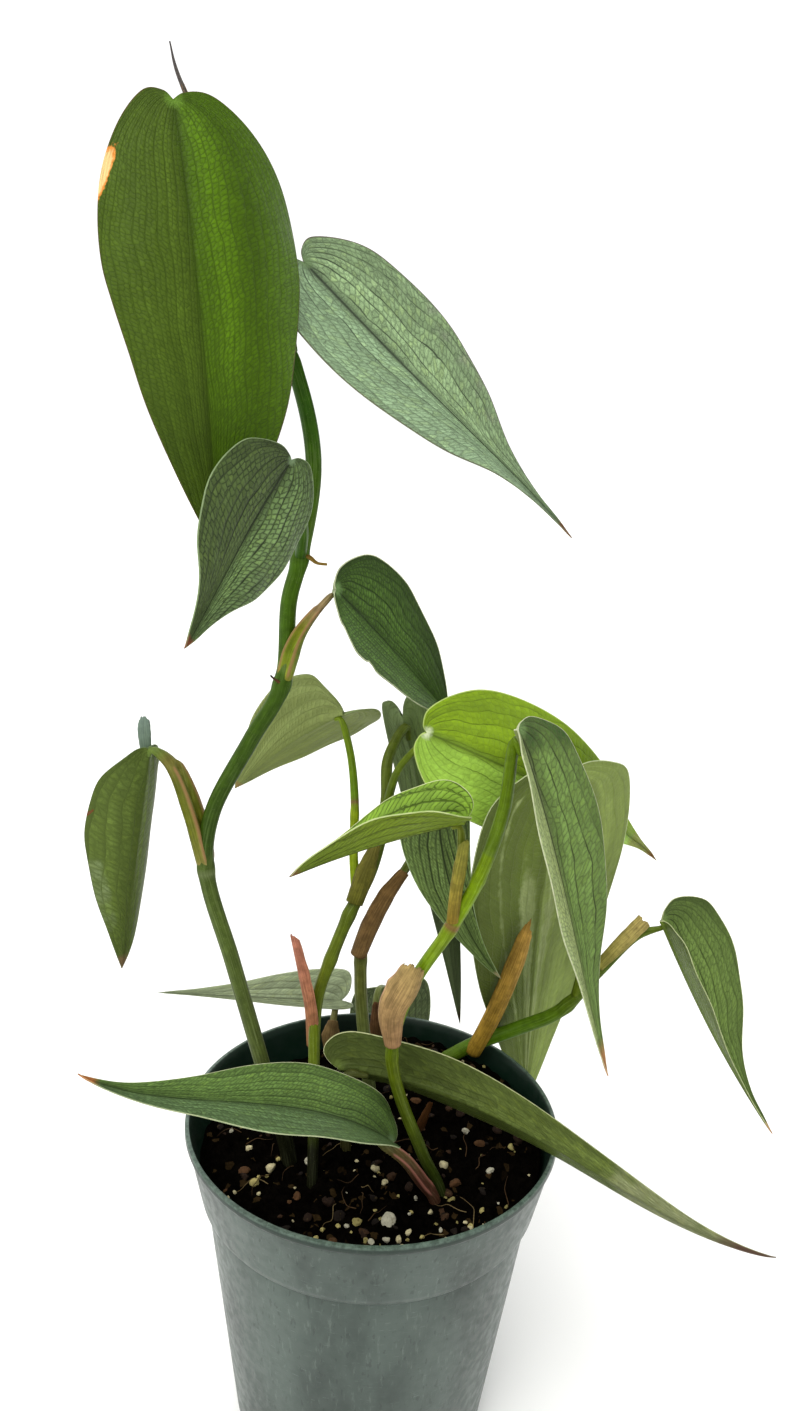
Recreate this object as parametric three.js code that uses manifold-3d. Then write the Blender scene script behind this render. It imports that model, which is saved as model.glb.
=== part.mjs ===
import * as THREE from 'three';
import { mergeVertices } from 'three/addons/utils/BufferGeometryUtils.js';
import Module from 'manifold-3d';

const wasm = await Module();
wasm.setup();

// A young climbing philodendron in a round nursery pot.
// Millimetres, +Z up, the front is -Y. The origin is the middle of the pot's underside.

// Driving dimensions
const GAP = 0.3;
const BLADE_THICKNESS = 0.8;
const SHEATH_THICKNESS = 0.7;
const BURIED = 10;
const POT = {
  height: 95, rim: 52.5, lip: 2.4, lipStep: 0.7, collarFoot: 48.3, collarDrop: 21, body: 46.1, base: 37.1,
  wall: 1.3, floor: 1.8, footBevel: 1.5,
};
const DRAIN = { count: 8, radius: 3.5, ring: 27 };
const SOIL = { level: 84, moundRise: 8, moundAt: [20, 30], moundReach: 24, edgeDip: 1.2, lump: 0.7 };
const GRAINS = { count: 26, smallest: 1.2, largest: 2.3, seed: 7, reach: 45 };

// Mesh fineness
const BLADE_COLUMNS = 6;
const BLADE_ROWS = 16;
const SHEATH_COLUMNS = 5;
const SHEATH_ROWS = 6;
const STALK_SIDES = 8;
const STALK_STEP = 8;
const POT_SIDES = 52;
const SOIL_SIDES = 36;
const SOIL_RINGS = 6;
const SPINE_STEPS = 24;

// One half of a leaf's outline, from the notch at the stalk round the lobe to the tip.
// Across in half widths. Along in lobe lengths below zero, in leaf lengths above it.
const OUTLINE = [
  [0, 0], [0.1, -0.55], [0.32, -0.97], [0.62, -0.88], [0.86, -0.4], [0.98, 0.07], [1, 0.22],
  [0.93, 0.38], [0.78, 0.55], [0.56, 0.71], [0.32, 0.85], [0.12, 0.95], [0, 1],
].map(([x, y]) => new THREE.Vector2(x, y));

// Each leaf: base is where the stalk meets the blade, and pairs are the two halves, first the one
// on the left of the midrib seen from above with the tip away. facing is the upper side's compass
// and height angle. arch, curl, bend, twist, folds and cup are degrees of turn.
const LEAVES = {
  leaf_top: {
    base: [-55, 2, 350], tip: [-44.5, -12, 252.5], facing: [9, 1], widths: [28.5, 20], lobes: [3, 4],
    shoulders: [0.21, 0.21], belly: -0.29, drip: -0.29, arch: 24, bend: 3, folds: [14, 14], cup: -39,
    color: 0x49721f,
  },
  leaf_upper_right: {
    base: [-24, 26, 322.5], tip: [50.5, 20, 257], facing: [22, 28], widths: [20, 23], lobes: [6, 5],
    shoulders: [0.14, 0.14], belly: -0.13, drip: 0.55, arch: 11, curl: 10, bend: -18, twist: 16,
    folds: [4, 19], color: 0x6f8b74,
  },
  leaf_upper_small: {
    base: [-28.5, -16, 275], tip: [-51, -38, 236], facing: [39, -9], widths: [17, 15], lobes: [4, 1],
    shoulders: [0.17, 0.17], drip: 0.4, arch: -8, curl: 10, bend: -6, twist: 7, folds: [8, 8], cup: -15,
    color: 0x3f6147,
  },
  leaf_wavy: {
    base: [-16, -1, 244], tip: [19, 19, 207], facing: [26, 32], widths: [16.5, 14.5], lobes: [3, 1],
    shoulders: [0.13, 0.13], drip: -0.27, arch: -1, bend: 6, folds: [15, 21],
    color: 0x456b45,
  },
  leaf_lime: {
    base: [10, 4, 206], tip: [105.4, 61.6, 143.9], facing: [-2, 22], widths: [19, 17.7], lobes: [4, 3.5],
    shoulders: [0.11, 0.11], belly: -0.38, drip: 0.72, arch: 34, bend: 5, folds: [15, -1],
    color: 0x7fa52c,
  },
  leaf_front: {
    base: [22.5, -38, 219], tip: [47, -52, 138.5], facing: [36, 11], widths: [14.5, 14], lobes: [2.5, 0.5],
    shoulders: [0.1, 0.1], belly: -0.24, drip: 0.56, arch: 15, curl: -14, twist: -22,
    folds: [22, 28], color: 0x45694a,
  },
  leaf_back_large: {
    base: [48.2, 6.7, 190.2], tip: [58.2, 39.3, 65.3], facing: [196, -1], widths: [26, 28.2],
    lobes: [9.9, 6.1], shoulders: [0.05, 0.05], belly: -0.05, drip: 0.08, arch: 15, bend: -5,
    folds: [-3, 1], color: 0x8a9a6a,
  },
  leaf_folded: {
    base: [13, -32, 195], tip: [-28, -40, 185], facing: [0, 93], widths: [17, 11], lobes: [0.5, 3.5],
    shoulders: [0.04, 0.04], belly: -0.26, drip: 0.18, curl: 4, bend: -17, twist: -52, folds: [48, 35],
    color: 0x6f9442,
  },
  leaf_dark_inner: {
    base: [16, 10, 181.5], tip: [36, 4, 133], facing: [-9, 1], widths: [8.6, 11.5], lobes: [5, 5],
    shoulders: [-0.06, -0.06], belly: -0.62, drip: 0.26, arch: 8, bend: -37, folds: [10, 10],
    color: 0x3f6040,
  },
  leaf_back_left: {
    base: [-8.5, 35, 203], tip: [-39.5, 48, 175.5], facing: [186, 26], widths: [18.5, 13.5],
    lobes: [1.5, 8], belly: -0.13, drip: 0.11, arch: 32, bend: -1, folds: [12, 15],
    color: 0x8a9a66,
  },
  leaf_narrow: {
    base: [8, 30, 203.5], tip: [30, 24, 106.5], facing: [179, 5], widths: [6, 8], lobes: [6, 4],
    shoulders: [-0.11, -0.11], belly: -0.2, arch: 10, bend: -8, folds: [10, 10],
    color: 0x4c6b46,
  },
  leaf_left: {
    base: [-62, 6, 201], tip: [-69, 2, 141], facing: [221, 3], widths: [13.5, 13], lobes: [1, 1],
    shoulders: [0.21, 0.21], drip: -0.13, arch: 12, bend: -11, folds: [-9, 8], cup: 37,
    color: 0x4d6a42,
  },
  leaf_right: {
    base: [86.5, 12, 146], tip: [120, -8, 85.5], facing: [52, 15], widths: [19, 12.5], lobes: [5, 0.5],
    shoulders: [0.06, 0.06], belly: -0.33, drip: 0.87, arch: -14, bend: -1, folds: [40, 40],
    color: 0x557545,
  },
  leaf_low_left: {
    base: [0.5, -30, 107], tip: [-72, -58, 149.5], facing: [-2, 77], widths: [13, 11.5], lobes: [0.5, 3.5],
    shoulders: [0.22, 0.03], belly: -0.1, drip: 0.4, arch: 60, curl: -59, bend: 4, twist: 25,
    folds: [15, 35], color: 0x4d7048,
  },
  leaf_low_right: {
    base: [-11.5, -9, 116], tip: [95, -56, 87], facing: [162, 26], widths: [14, 11], lobes: [0.5, 4.5],
    shoulders: [0.01, 0.01], belly: -0.6, drip: 0.27, arch: 46, curl: -54, bend: -13, twist: 13,
    folds: [16, 35], color: 0x66754a,
  },
  leaf_behind_left: {
    base: [-5, 46, 103.5], tip: [-64, 62, 99.5], facing: [0, 38], widths: [3, 10], lobes: [4, 3],
    shoulders: [-0.04, -0.04], belly: -0.74, drip: 0.35, arch: 3, bend: 1, folds: [10, 9],
    color: 0x7d8c78,
  },
  leaf_behind_pot: {
    base: [13.5, 62, 97.5], tip: [21.5, 84, 34], facing: [-3, 39], widths: [15, 14], lobes: [5.5, 2.5],
    shoulders: [-0.03, -0.03], belly: -0.23, arch: 18, bend: -11, folds: [8, 11],
    color: 0x44624a,
  },
};

// Each stem: the routes of its axis and stalks from the ground up, with radii along them.
// A stalk that names a leaf runs on to the underside of that blade.
const STEMS = {
  stem_tall: {
    foot: [-23.5, -5],
    routes: [
      {
        points: [
          [-31.5, -5, 114.5], [-40, -3, 145], [-47, 0, 170], [-45.5, 0, 185.5], [-36, 0, 205],
          [-28.5, 0, 219.5], [-27, 3, 240.5], [-24.5, 5, 250.5], [-21.5, 8, 273.5], [-26, 8, 294],
          [-36, 8, 314], [-48, 8, 338],
        ],
        radii: [2.2, 2.1, 2.1, 2.1, 2, 1.9, 1.4],
        leaf: 'leaf_top',
      },
      {
        points: [[-47, 0, 170], [-50.5, 2, 183.5], [-56, 4, 196]],
        radii: [1.9, 2.1, 1.8, 1],
        leaf: 'leaf_left',
      },
      {
        points: [[-28, 0, 220.5], [-24.5, -1.5, 232.5], [-18.5, -2, 241]],
        radii: [1.9, 1.9, 1.3, 0.9],
        leaf: 'leaf_wavy',
      },
      {
        points: [[-24.5, 5, 250.5], [-24.5, -3, 258.5], [-26.5, -11, 268]],
        radii: [1.5, 1.3, 1],
        leaf: 'leaf_upper_small',
      },
      { points: [[-28, 8, 300], [-28.5, 17, 312.5]], radii: [1.8, 1.4, 1.2], leaf: 'leaf_upper_right' },
      { points: [[-25, 5, 251], [-21.5, 3, 252], [-18, 2, 252]], radii: [0.8, 0.6, 0.4] },
    ],
    color: 0x5a7d45,
  },
  stem_left: {
    foot: [-18, -14.5],
    routes: [
      {
        points: [
          [-17.5, -8, 99], [-16.5, 4, 128.5], [-13, 6, 139.5], [-8, 9, 151.5], [-1.5, 13, 164],
          [2.5, 18, 181], [3, 22, 193],
        ],
        radii: [1.5, 1.5, 1.7, 1.8, 1.8, 1.3],
        leaf: 'leaf_narrow',
      },
      {
        points: [[-6, 10, 156], [-6.5, 16, 168], [-6, 22, 181], [-7, 29, 193]],
        radii: [1.3, 1.2, 1],
        leaf: 'leaf_back_left',
      },
      { points: [[2.5, 18, 181], [5, 11.5, 194.5]], radii: [1.3, 1, 0.9], leaf: 'leaf_lime' },
    ],
    color: 0x6f9432,
  },
  stem_middle: {
    foot: [1.5, 8.5],
    routes: [
      {
        points: [
          [-1.5, 9, 109], [-3.5, 11, 130], [-3, 13, 140], [2.5, 17, 150], [9, 17, 162], [14, 14, 174],
        ],
        radii: [1.95, 1.9, 1.8, 1.3, 1.1],
        leaf: 'leaf_dark_inner',
      },
    ],
    color: 0x75875f,
  },
  stem_front: {
    foot: [16.5, -21.5],
    routes: [
      {
        points: [
          [10, -22, 98], [0.5, -23, 127.5], [4.5, -25, 148.5], [12, -29, 165.5], [17.5, -32, 180],
          [21.5, -35, 198.5],
        ],
        radii: [1.4, 1.6, 1.6, 1.6, 1.6, 1.3, 1],
        leaf: 'leaf_front',
      },
      { points: [[12, -29, 165.5], [13, -30.5, 178]], radii: [1.3, 1.1, 1], leaf: 'leaf_folded' },
    ],
    color: 0x6d9a35,
  },
  stem_right: {
    foot: [27.5, 29.5],
    routes: [
      {
        points: [
          [29, 29.5, 92], [36, 28, 97], [49.5, 25, 104], [60.5, 20, 112.5], [70, 15, 128.5], [80, 13, 141],
        ],
        radii: [2.2, 2.2, 2.1, 1.5, 1.2],
        leaf: 'leaf_right',
      },
      {
        points: [[64, 17.5, 119], [65.5, 16.5, 134.5], [62, 14.5, 152], [56.3, 13.5, 169.8]],
        radii: [1.5, 1.4, 1.2],
        leaf: 'leaf_back_large',
      },
    ],
    color: 0x5f9530,
  },
  stalk_low_left: {
    foot: [14, -25],
    routes: [{ points: [[9.5, -26.5, 92], [4, -29, 101]], radii: [1.6, 1.6, 1.2], leaf: 'leaf_low_left' }],
    color: 0x8a6a55,
  },
  stalk_low_right: {
    foot: [-7.5, -2],
    routes: [{ points: [[-8.5, -3, 101]], radii: [1.6, 1.5, 1.2], leaf: 'leaf_low_right' }],
    color: 0x7a7a45,
  },
  stalk_behind_left: {
    foot: [-6, 42.5],
    routes: [{ points: [[-7.5, 43, 94]], radii: [1.3, 1.2, 1], leaf: 'leaf_behind_left' }],
    color: 0x86804e,
  },
  stalk_behind_pot: {
    foot: [7, 41.5],
    routes: [{ points: [[6.5, 43.5, 97], [8, 50, 103.5]], radii: [1.3, 1.2, 1], leaf: 'leaf_behind_pot' }],
    color: 0x7b8a4e,
  },
};

// The leaf that is still rolled up, on its own stalk behind the top leaf.
const ROLLED_LEAF = {
  points: [[-43, 10, 328], [-46.5, 11, 338.5], [-52, 9, 350], [-55, 6, 357.5], [-56.5, 4, 362]],
  radii: [1.2, 1.5, 1.4, 0.8, 0.4],
  color: 0x6a7560,
};

// Each sheath: a channel along a line, open towards a direction. wrap is its turn in degrees.
const SHEATHS = {
  sheath_pink: {
    points: [[-18.5, 2, 115], [-19.5, 1.5, 127], [-21.5, 1, 137], [-24.5, -1, 151]],
    widths: [4, 3.8, 3.6, 2.6], wrap: 150, opens: [1, 0.6, 0], color: 0xb5695c,
  },
  sheath_left_olive: {
    points: [[-7, 7.5, 155.5], [-4.5, 8.5, 163], [-1, 11, 172]],
    widths: [4.6, 5.4, 2.6], wrap: 170, opens: [0.3, 1, 0], color: 0x7c7a3e,
  },
  sheath_middle_brown: {
    points: [[-5, 8.7, 138.5], [-2, 7.5, 148.5], [2.5, 7, 158.5], [7, 6.5, 165.5]],
    widths: [4.4, 5, 4.6, 2.8], wrap: 160, opens: [0.2, 1, 0], color: 0x7d6440,
  },
  sheath_front_tan: {
    points: [[0, -26, 131.5], [-1, -28, 142], [2, -28.8, 150], [4.5, -29, 156]],
    widths: [4, 6.5, 8, 5], wrap: 170, opens: [0.2, 1, 0], color: 0xa98a63,
  },
  sheath_front_olive: {
    points: [[12, -32, 168.5], [12, -33.6, 177], [12.5, -34.5, 185], [13, -34.8, 191.5]],
    widths: [4, 4.6, 4.2, 2], wrap: 160, opens: [0.1, 1, 0], color: 0x96874f,
  },
  sheath_right_orange: {
    points: [[35, 25, 94.5], [39.6, 22, 108.5], [43.9, 18.5, 126.9], [47.4, 15, 146.7]],
    widths: [6, 7.4, 7, 2.4], wrap: 170, opens: [0.2, 1, 0], color: 0xa87a35,
  },
  sheath_right_tan: {
    points: [[68, 13, 131], [73.5, 11.5, 139], [80, 10.5, 147.5]],
    widths: [3, 4.4, 4.4], wrap: 150, opens: [0.6, 0.8, -0.6], color: 0x9c9460,
  },
  sheath_behind_left: {
    points: [[-7.5, 39.5, 88], [-8, 39, 95], [-7.5, 39.5, 100.5]],
    widths: [4.5, 6, 2.6], wrap: 140, opens: [0, 1, 0], color: 0x8a6f50,
  },
  sheath_behind_pot: {
    points: [[6, 38.5, 88], [6, 38, 98], [6, 39.5, 106.5]],
    widths: [3.2, 3.8, 2], wrap: 140, opens: [0, 1, 0], color: 0x7a5a3c,
  },
  sheath_low: {
    points: [[13.5, 2, 82], [15.5, 2, 89], [17.5, 2, 95.5]],
    widths: [2.6, 3.4, 1.4], wrap: 120, opens: [0, 1, 0], color: 0x8f5a34,
  },
};

const radians = THREE.MathUtils.degToRad;

// Closed solids

function withoutSlivers(geometry) {
  const bare = geometry.clone();
  bare.deleteAttribute('normal');
  bare.deleteAttribute('uv');
  const merged = mergeVertices(bare, 1e-4);
  const kept = [];
  const index = merged.index.array;
  for (let i = 0; i < index.length; i += 3) {
    const [a, b, c] = index.slice(i, i + 3);
    if (a !== b && b !== c && c !== a) kept.push(a, b, c);
  }
  merged.setIndex(kept);
  return merged;
}

function toSolid(geometry) {
  const closed = withoutSlivers(geometry);
  return new wasm.Manifold(new wasm.Mesh({
    numProp: 3,
    vertProperties: Float32Array.from(closed.attributes.position.array),
    triVerts: Uint32Array.from(closed.index.array),
  }));
}

function largestPiece(solid) {
  const pieces = solid.decompose();
  pieces.sort((a, b) => b.volume() - a.volume());
  return pieces[0];
}

function cutFrom(solid, cutters) {
  let left = solid;
  for (const cutter of cutters) left = left.subtract(cutter);
  return largestPiece(left);
}

function toGeometry(solid) {
  const mesh = solid.getMesh();
  const geometry = new THREE.BufferGeometry();
  geometry.setAttribute('position', new THREE.BufferAttribute(mesh.vertProperties, 3));
  geometry.setIndex(new THREE.BufferAttribute(mesh.triVerts, 1));
  geometry.computeVertexNormals();
  return geometry;
}

// Gives a bent sheet its thickness: the same triangles on both faces, and a strip round the edge.
function thicken(sheet, thickness) {
  const surface = withoutSlivers(sheet);
  surface.computeVertexNormals();
  const { position, normal } = surface.attributes;
  const count = position.count;
  const points = [];
  for (const side of [thickness / 2, -thickness / 2]) {
    for (let i = 0; i < count; i++) {
      points.push(
        position.getX(i) + normal.getX(i) * side,
        position.getY(i) + normal.getY(i) * side,
        position.getZ(i) + normal.getZ(i) * side,
      );
    }
  }
  const index = surface.index.array;
  const triangles = [];
  const edges = new Map();
  for (let i = 0; i < index.length; i += 3) {
    const corners = [index[i], index[i + 1], index[i + 2]];
    const [a, b, c] = corners;
    triangles.push(a, b, c, a + count, c + count, b + count);
    corners.forEach((from, k) => {
      const to = corners[(k + 1) % 3];
      edges.set(`${from}_${to}`, [from, to]);
    });
  }
  for (const [from, to] of edges.values()) {
    if (!edges.has(`${to}_${from}`)) triangles.push(to, from, from + count, to, from + count, to + count);
  }
  const shell = new THREE.BufferGeometry();
  shell.setAttribute('position', new THREE.Float32BufferAttribute(points, 3));
  shell.setIndex(triangles);
  return shell;
}

function mapVertices(geometry, place) {
  const { position } = geometry.attributes;
  for (let i = 0; i < position.count; i++) {
    const point = place(position.getX(i), position.getY(i), position.getZ(i));
    position.setXYZ(i, point.x, point.y, point.z);
  }
  return geometry;
}

// A value that runs evenly through a list, for a share of the way from 0 to 1.
function along(list, share) {
  const place = share * (list.length - 1);
  const low = Math.min(Math.floor(place), list.length - 2);
  return THREE.MathUtils.lerp(list[low], list[low + 1], place - low);
}

// Leaf blades

function directionOf([compass, height]) {
  const [a, h] = [radians(compass), radians(height)];
  return new THREE.Vector3(Math.sin(a) * Math.cos(h), -Math.cos(a) * Math.cos(h), Math.sin(h));
}

// The midrib's direction, the way across and the upper side at a share of the leaf's length.
function ribFrame(leaf, share, twist = leaf.twist ?? 0) {
  const drop = -radians((leaf.arch ?? 0) * share + (leaf.curl ?? 0) * Math.max(share, 0) ** 4);
  const swing = radians((leaf.bend ?? 0) * share);
  const turn = radians(twist * (share - 0.5));
  const forward = new THREE.Vector3(
    Math.sin(swing) * Math.cos(drop), Math.cos(swing) * Math.cos(drop), Math.sin(drop),
  );
  const level = new THREE.Vector3(Math.cos(swing), -Math.sin(swing), 0);
  const across = level.clone().applyAxisAngle(forward, -turn);
  return { forward, across, up: across.clone().cross(forward) };
}

function ribPoint(leaf, share) {
  const point = new THREE.Vector3();
  for (let k = 0; k < SPINE_STEPS; k++) {
    point.addScaledVector(ribFrame(leaf, share * (k + 0.5) / SPINE_STEPS).forward, share / SPINE_STEPS);
  }
  return point;
}

function basisOf(forward, up) {
  const y = forward.clone().normalize();
  const z = up.clone().addScaledVector(y, -up.dot(y)).normalize();
  return new THREE.Matrix4().makeBasis(y.clone().cross(z), y, z);
}

// Returns the leaf's length and a function from across, share of length and height to a point.
function layOut(leaf) {
  const base = new THREE.Vector3(...leaf.base);
  const chord = new THREE.Vector3(...leaf.tip).sub(base);
  const reach = ribPoint(leaf, 1);
  const length = chord.length() / reach.length();
  const own = basisOf(reach, ribFrame(leaf, 0.5, 0).up);
  const turn = basisOf(chord, directionOf(leaf.facing)).multiply(own.transpose());
  const place = (across, share, height) => {
    const frame = ribFrame(leaf, share);
    return ribPoint(leaf, share).multiplyScalar(length)
      .addScaledVector(frame.across, across).addScaledVector(frame.up, height)
      .applyMatrix4(turn).add(base);
  };
  return { length, place };
}

// The outline of one half as a smooth curve, with the leaf's own lobe, shoulder, belly and drip.
function halfOutline(leaf, half, length) {
  const drip = leaf.drip ?? 0;
  const belly = leaf.belly ?? 0;
  const shoulder = leaf.shoulders ? leaf.shoulders[half] : 0;
  const points = OUTLINE.map(({ x, y }) => {
    const narrowing = drip * THREE.MathUtils.smoothstep(y, 0.45, 0.9);
    const run = y > 0 ? y + belly * y * (1 - y) : y * leaf.lobes[half] / length;
    return new THREE.Vector2(x * (1 - narrowing), run + shoulder * x * x * (1 - run));
  });
  return new THREE.SplineCurve(points);
}

// grow swells the blade all round, for the room that is kept clear of other pieces.
function bladeGeometry(leaf, grow = 0) {
  const { length, place } = layOut(leaf);
  const outlines = [halfOutline(leaf, 0, length), halfOutline(leaf, 1, length)];
  const widest = Math.max(...leaf.widths);
  const sheet = new THREE.PlaneGeometry(2, 1, BLADE_COLUMNS, BLADE_ROWS);
  mapVertices(sheet, (t, y) => {
    const s = THREE.MathUtils.clamp(y + 0.5, 0, 1);
    const half = t < 0 ? 0 : 1;
    const edge = outlines[half].getPoint(s);
    const rib = 0.06 * s + 0.94 * s ** 3.2;
    const out = Math.abs(t) * edge.x * (leaf.widths[half] + grow);
    const share = rib + (edge.y - rib) * Math.abs(t) ** 1.25 + grow * (2 * s - 1) / length;
    const lift = radians(leaf.folds[half] + (leaf.cup ?? 0) * out / widest);
    return place(Math.sign(t) * out * Math.cos(lift), share, out * Math.sin(lift));
  });
  return thicken(sheet, BLADE_THICKNESS + 2 * grow);
}

// Where the stalk ends, just under the midrib beside the notch.
function stalkEnd(leaf) {
  return layOut(leaf).place(0, 0.03, -1.2 - BLADE_THICKNESS / 2);
}

// Stems and stalks

function stalkSolid(points, radii, grow = 0) {
  const curve = new THREE.CatmullRomCurve3(points);
  const steps = Math.max(4, Math.round(curve.getLength() / STALK_STEP));
  const { tangents, normals, binormals } = curve.computeFrenetFrames(steps, false);
  const tube = new THREE.CylinderGeometry(1, 1, 1, STALK_SIDES, steps);
  mapVertices(tube, (x, y, z) => {
    const share = y + 0.5;
    const step = Math.round(share * steps);
    const radius = along(radii, share) + grow;
    const beyond = (step === 0 ? -grow : 0) + (step === steps ? grow : 0);
    return curve.getPointAt(step / steps)
      .addScaledVector(normals[step], x * radius)
      .addScaledVector(binormals[step], -z * radius)
      .addScaledVector(tangents[step], beyond);
  });
  return toSolid(tube);
}

function routePoints(route, foot) {
  const points = route.points.map((point) => new THREE.Vector3(...point));
  if (foot) {
    const level = soilHeight(...foot);
    points.unshift(new THREE.Vector3(...foot, level - BURIED), new THREE.Vector3(...foot, level));
  }
  if (route.leaf) points.push(stalkEnd(LEAVES[route.leaf]));
  return points;
}

function stemSolid(stem, grow = 0) {
  const solids = stem.routes.map((route, k) => (
    stalkSolid(routePoints(route, k === 0 ? stem.foot : null), route.radii, grow)
  ));
  return solids.reduce((whole, solid) => whole.add(solid));
}

function sheathSolid({ points, widths, wrap, opens }, grow = 0) {
  const curve = new THREE.CatmullRomCurve3(points.map((point) => new THREE.Vector3(...point)));
  const sheet = new THREE.PlaneGeometry(1, 1, SHEATH_COLUMNS, SHEATH_ROWS);
  mapVertices(sheet, (x, y) => {
    const share = THREE.MathUtils.clamp(y + 0.5, 0, 1);
    const forward = curve.getTangentAt(share);
    const open = new THREE.Vector3(...opens);
    open.addScaledVector(forward, -open.dot(forward)).normalize();
    const side = forward.clone().cross(open);
    const radius = (along(widths, share) / 2 + grow) / Math.sin(Math.min(radians(wrap) / 2, Math.PI / 2));
    const angle = x * radians(wrap);
    return curve.getPointAt(share)
      .addScaledVector(forward, grow * (2 * share - 1))
      .addScaledVector(side, radius * Math.sin(angle))
      .addScaledVector(open, radius * (1 - Math.cos(angle)));
  });
  return toSolid(thicken(sheet, SHEATH_THICKNESS + 2 * grow));
}

// Pot and soil

function lathe(profile, sides) {
  const points = profile.map(([r, z]) => new THREE.Vector2(r, z));
  return new THREE.LatheGeometry(points, sides).rotateX(Math.PI / 2);
}

function potSolid() {
  const { height, rim, lip, lipStep, collarFoot, collarDrop, body, base, wall, floor, footBevel } = POT;
  const collarBottom = height - collarDrop;
  const shell = toSolid(lathe([
    [0, 0], [base - footBevel, 0], [base, footBevel], [body, collarBottom - 1],
    [collarFoot, collarBottom + 1.5], [rim - lipStep, height - lip], [rim, height - lip * 0.75],
    [rim, height - 0.4], [rim - 0.5, height], [rim - wall, height], [rim - wall - lipStep, height - lip],
    [collarFoot - wall, collarBottom + 1.5], [body - wall, collarBottom - 1],
    [base - wall, floor], [0, floor],
  ], POT_SIDES));
  const drains = [];
  for (let k = 0; k < DRAIN.count; k++) {
    const angle = 2 * Math.PI * (k + 0.5) / DRAIN.count;
    const drill = new THREE.CylinderGeometry(DRAIN.radius, DRAIN.radius, 4 * floor, 12);
    drill.rotateX(Math.PI / 2).translate(DRAIN.ring * Math.cos(angle), DRAIN.ring * Math.sin(angle), 0);
    drains.push(toSolid(drill));
  }
  return cutFrom(shell, drains);
}

function soilHeight(x, y) {
  const { level, moundRise, moundAt, moundReach, edgeDip, lump } = SOIL;
  const away = Math.hypot(x - moundAt[0], y - moundAt[1]) / moundReach;
  const dip = edgeDip * THREE.MathUtils.smoothstep(Math.hypot(x, y), 40, 50);
  const broad = Math.sin(x * 0.55 + y * 0.21) * Math.cos(y * 0.47 - x * 0.13);
  const fine = 0.5 * Math.sin(x * 1.1 - y * 0.9);
  return level + moundRise * Math.exp(-away * away) - dip + lump * (broad + fine);
}

function soilBody() {
  const { height, rim, lipStep, lip, collarFoot, collarDrop, body, base, wall, floor } = POT;
  const collarBottom = height - collarDrop;
  const inset = wall + GAP;
  const slope = (rim - lipStep - collarFoot) / (height - lip - collarBottom);
  const edge = collarFoot - inset + slope * (SOIL.level - 2 - collarBottom);
  const profile = [
    [0, floor + GAP], [base - inset, floor + GAP], [body - inset, collarBottom - 1],
    [collarFoot - inset, collarBottom + 1.5], [edge, SOIL.level - 2],
  ];
  for (let k = SOIL_RINGS; k >= 0; k--) profile.push([edge * k / SOIL_RINGS, SOIL.level]);
  const heap = lathe(profile, SOIL_SIDES);
  mapVertices(heap, (x, y, z) => {
    const surface = z > SOIL.level - 1;
    return new THREE.Vector3(x, y, surface ? soilHeight(x, y) : z);
  });
  return toSolid(heap);
}

function seededRandom(seed) {
  let state = seed;
  return () => {
    state = (state * 1664525 + 1013904223) % 4294967296;
    return state / 4294967296;
  };
}

function soilSolid(cutters) {
  const random = seededRandom(GRAINS.seed);
  let soil = soilBody();
  for (let k = 0; k < GRAINS.count; k++) {
    const reach = GRAINS.reach * Math.sqrt(random());
    const angle = 2 * Math.PI * random();
    const size = THREE.MathUtils.lerp(GRAINS.smallest, GRAINS.largest, random() ** 2);
    const [x, y] = [reach * Math.cos(angle), reach * Math.sin(angle)];
    const grain = new THREE.IcosahedronGeometry(size, 0);
    grain.scale(1, 0.7 + 0.4 * random(), 0.7 + 0.3 * random()).rotateZ(angle).rotateX(random());
    soil = soil.add(toSolid(grain.translate(x, y, soilHeight(x, y))));
  }
  return cutFrom(soil, cutters);
}

// Assembly: blades first, stems cut clear of the blades and of each other, then the rest

const plant = new THREE.Group();

function addPiece(name, solid, color, roughness) {
  const material = new THREE.MeshStandardMaterial({ color, roughness, metalness: 0 });
  const mesh = new THREE.Mesh(toGeometry(solid), material);
  mesh.name = name;
  plant.add(mesh);
}

const leafRoom = [];
for (const [name, leaf] of Object.entries(LEAVES)) {
  addPiece(name, toSolid(bladeGeometry(leaf)), leaf.color, 0.45);
  leafRoom.push(toSolid(bladeGeometry(leaf, GAP)));
}

const stemRoom = [];
for (const [name, stem] of Object.entries(STEMS)) {
  addPiece(name, cutFrom(stemSolid(stem), [...leafRoom, ...stemRoom]), stem.color, 0.5);
  stemRoom.push(stemSolid(stem, GAP));
}
const rolledPoints = ROLLED_LEAF.points.map((point) => new THREE.Vector3(...point));
const rolled = stalkSolid(rolledPoints, ROLLED_LEAF.radii);
addPiece('leaf_rolled', cutFrom(rolled, [...leafRoom, ...stemRoom]), ROLLED_LEAF.color, 0.5);

const sheathRoom = [];
for (const [name, sheath] of Object.entries(SHEATHS)) {
  const solid = cutFrom(sheathSolid(sheath), [...leafRoom, ...stemRoom, ...sheathRoom]);
  addPiece(name, solid, sheath.color, 0.7);
  sheathRoom.push(sheathSolid(sheath, GAP));
}

addPiece('soil', soilSolid([...stemRoom, ...sheathRoom, ...leafRoom]), 0x2a211b, 0.95);
addPiece('pot', potSolid(), 0x3d5a4c, 0.5);

export default plant;
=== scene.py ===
import math

import bpy
import bmesh
import numpy as np
from mathutils import Matrix, Vector


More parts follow.
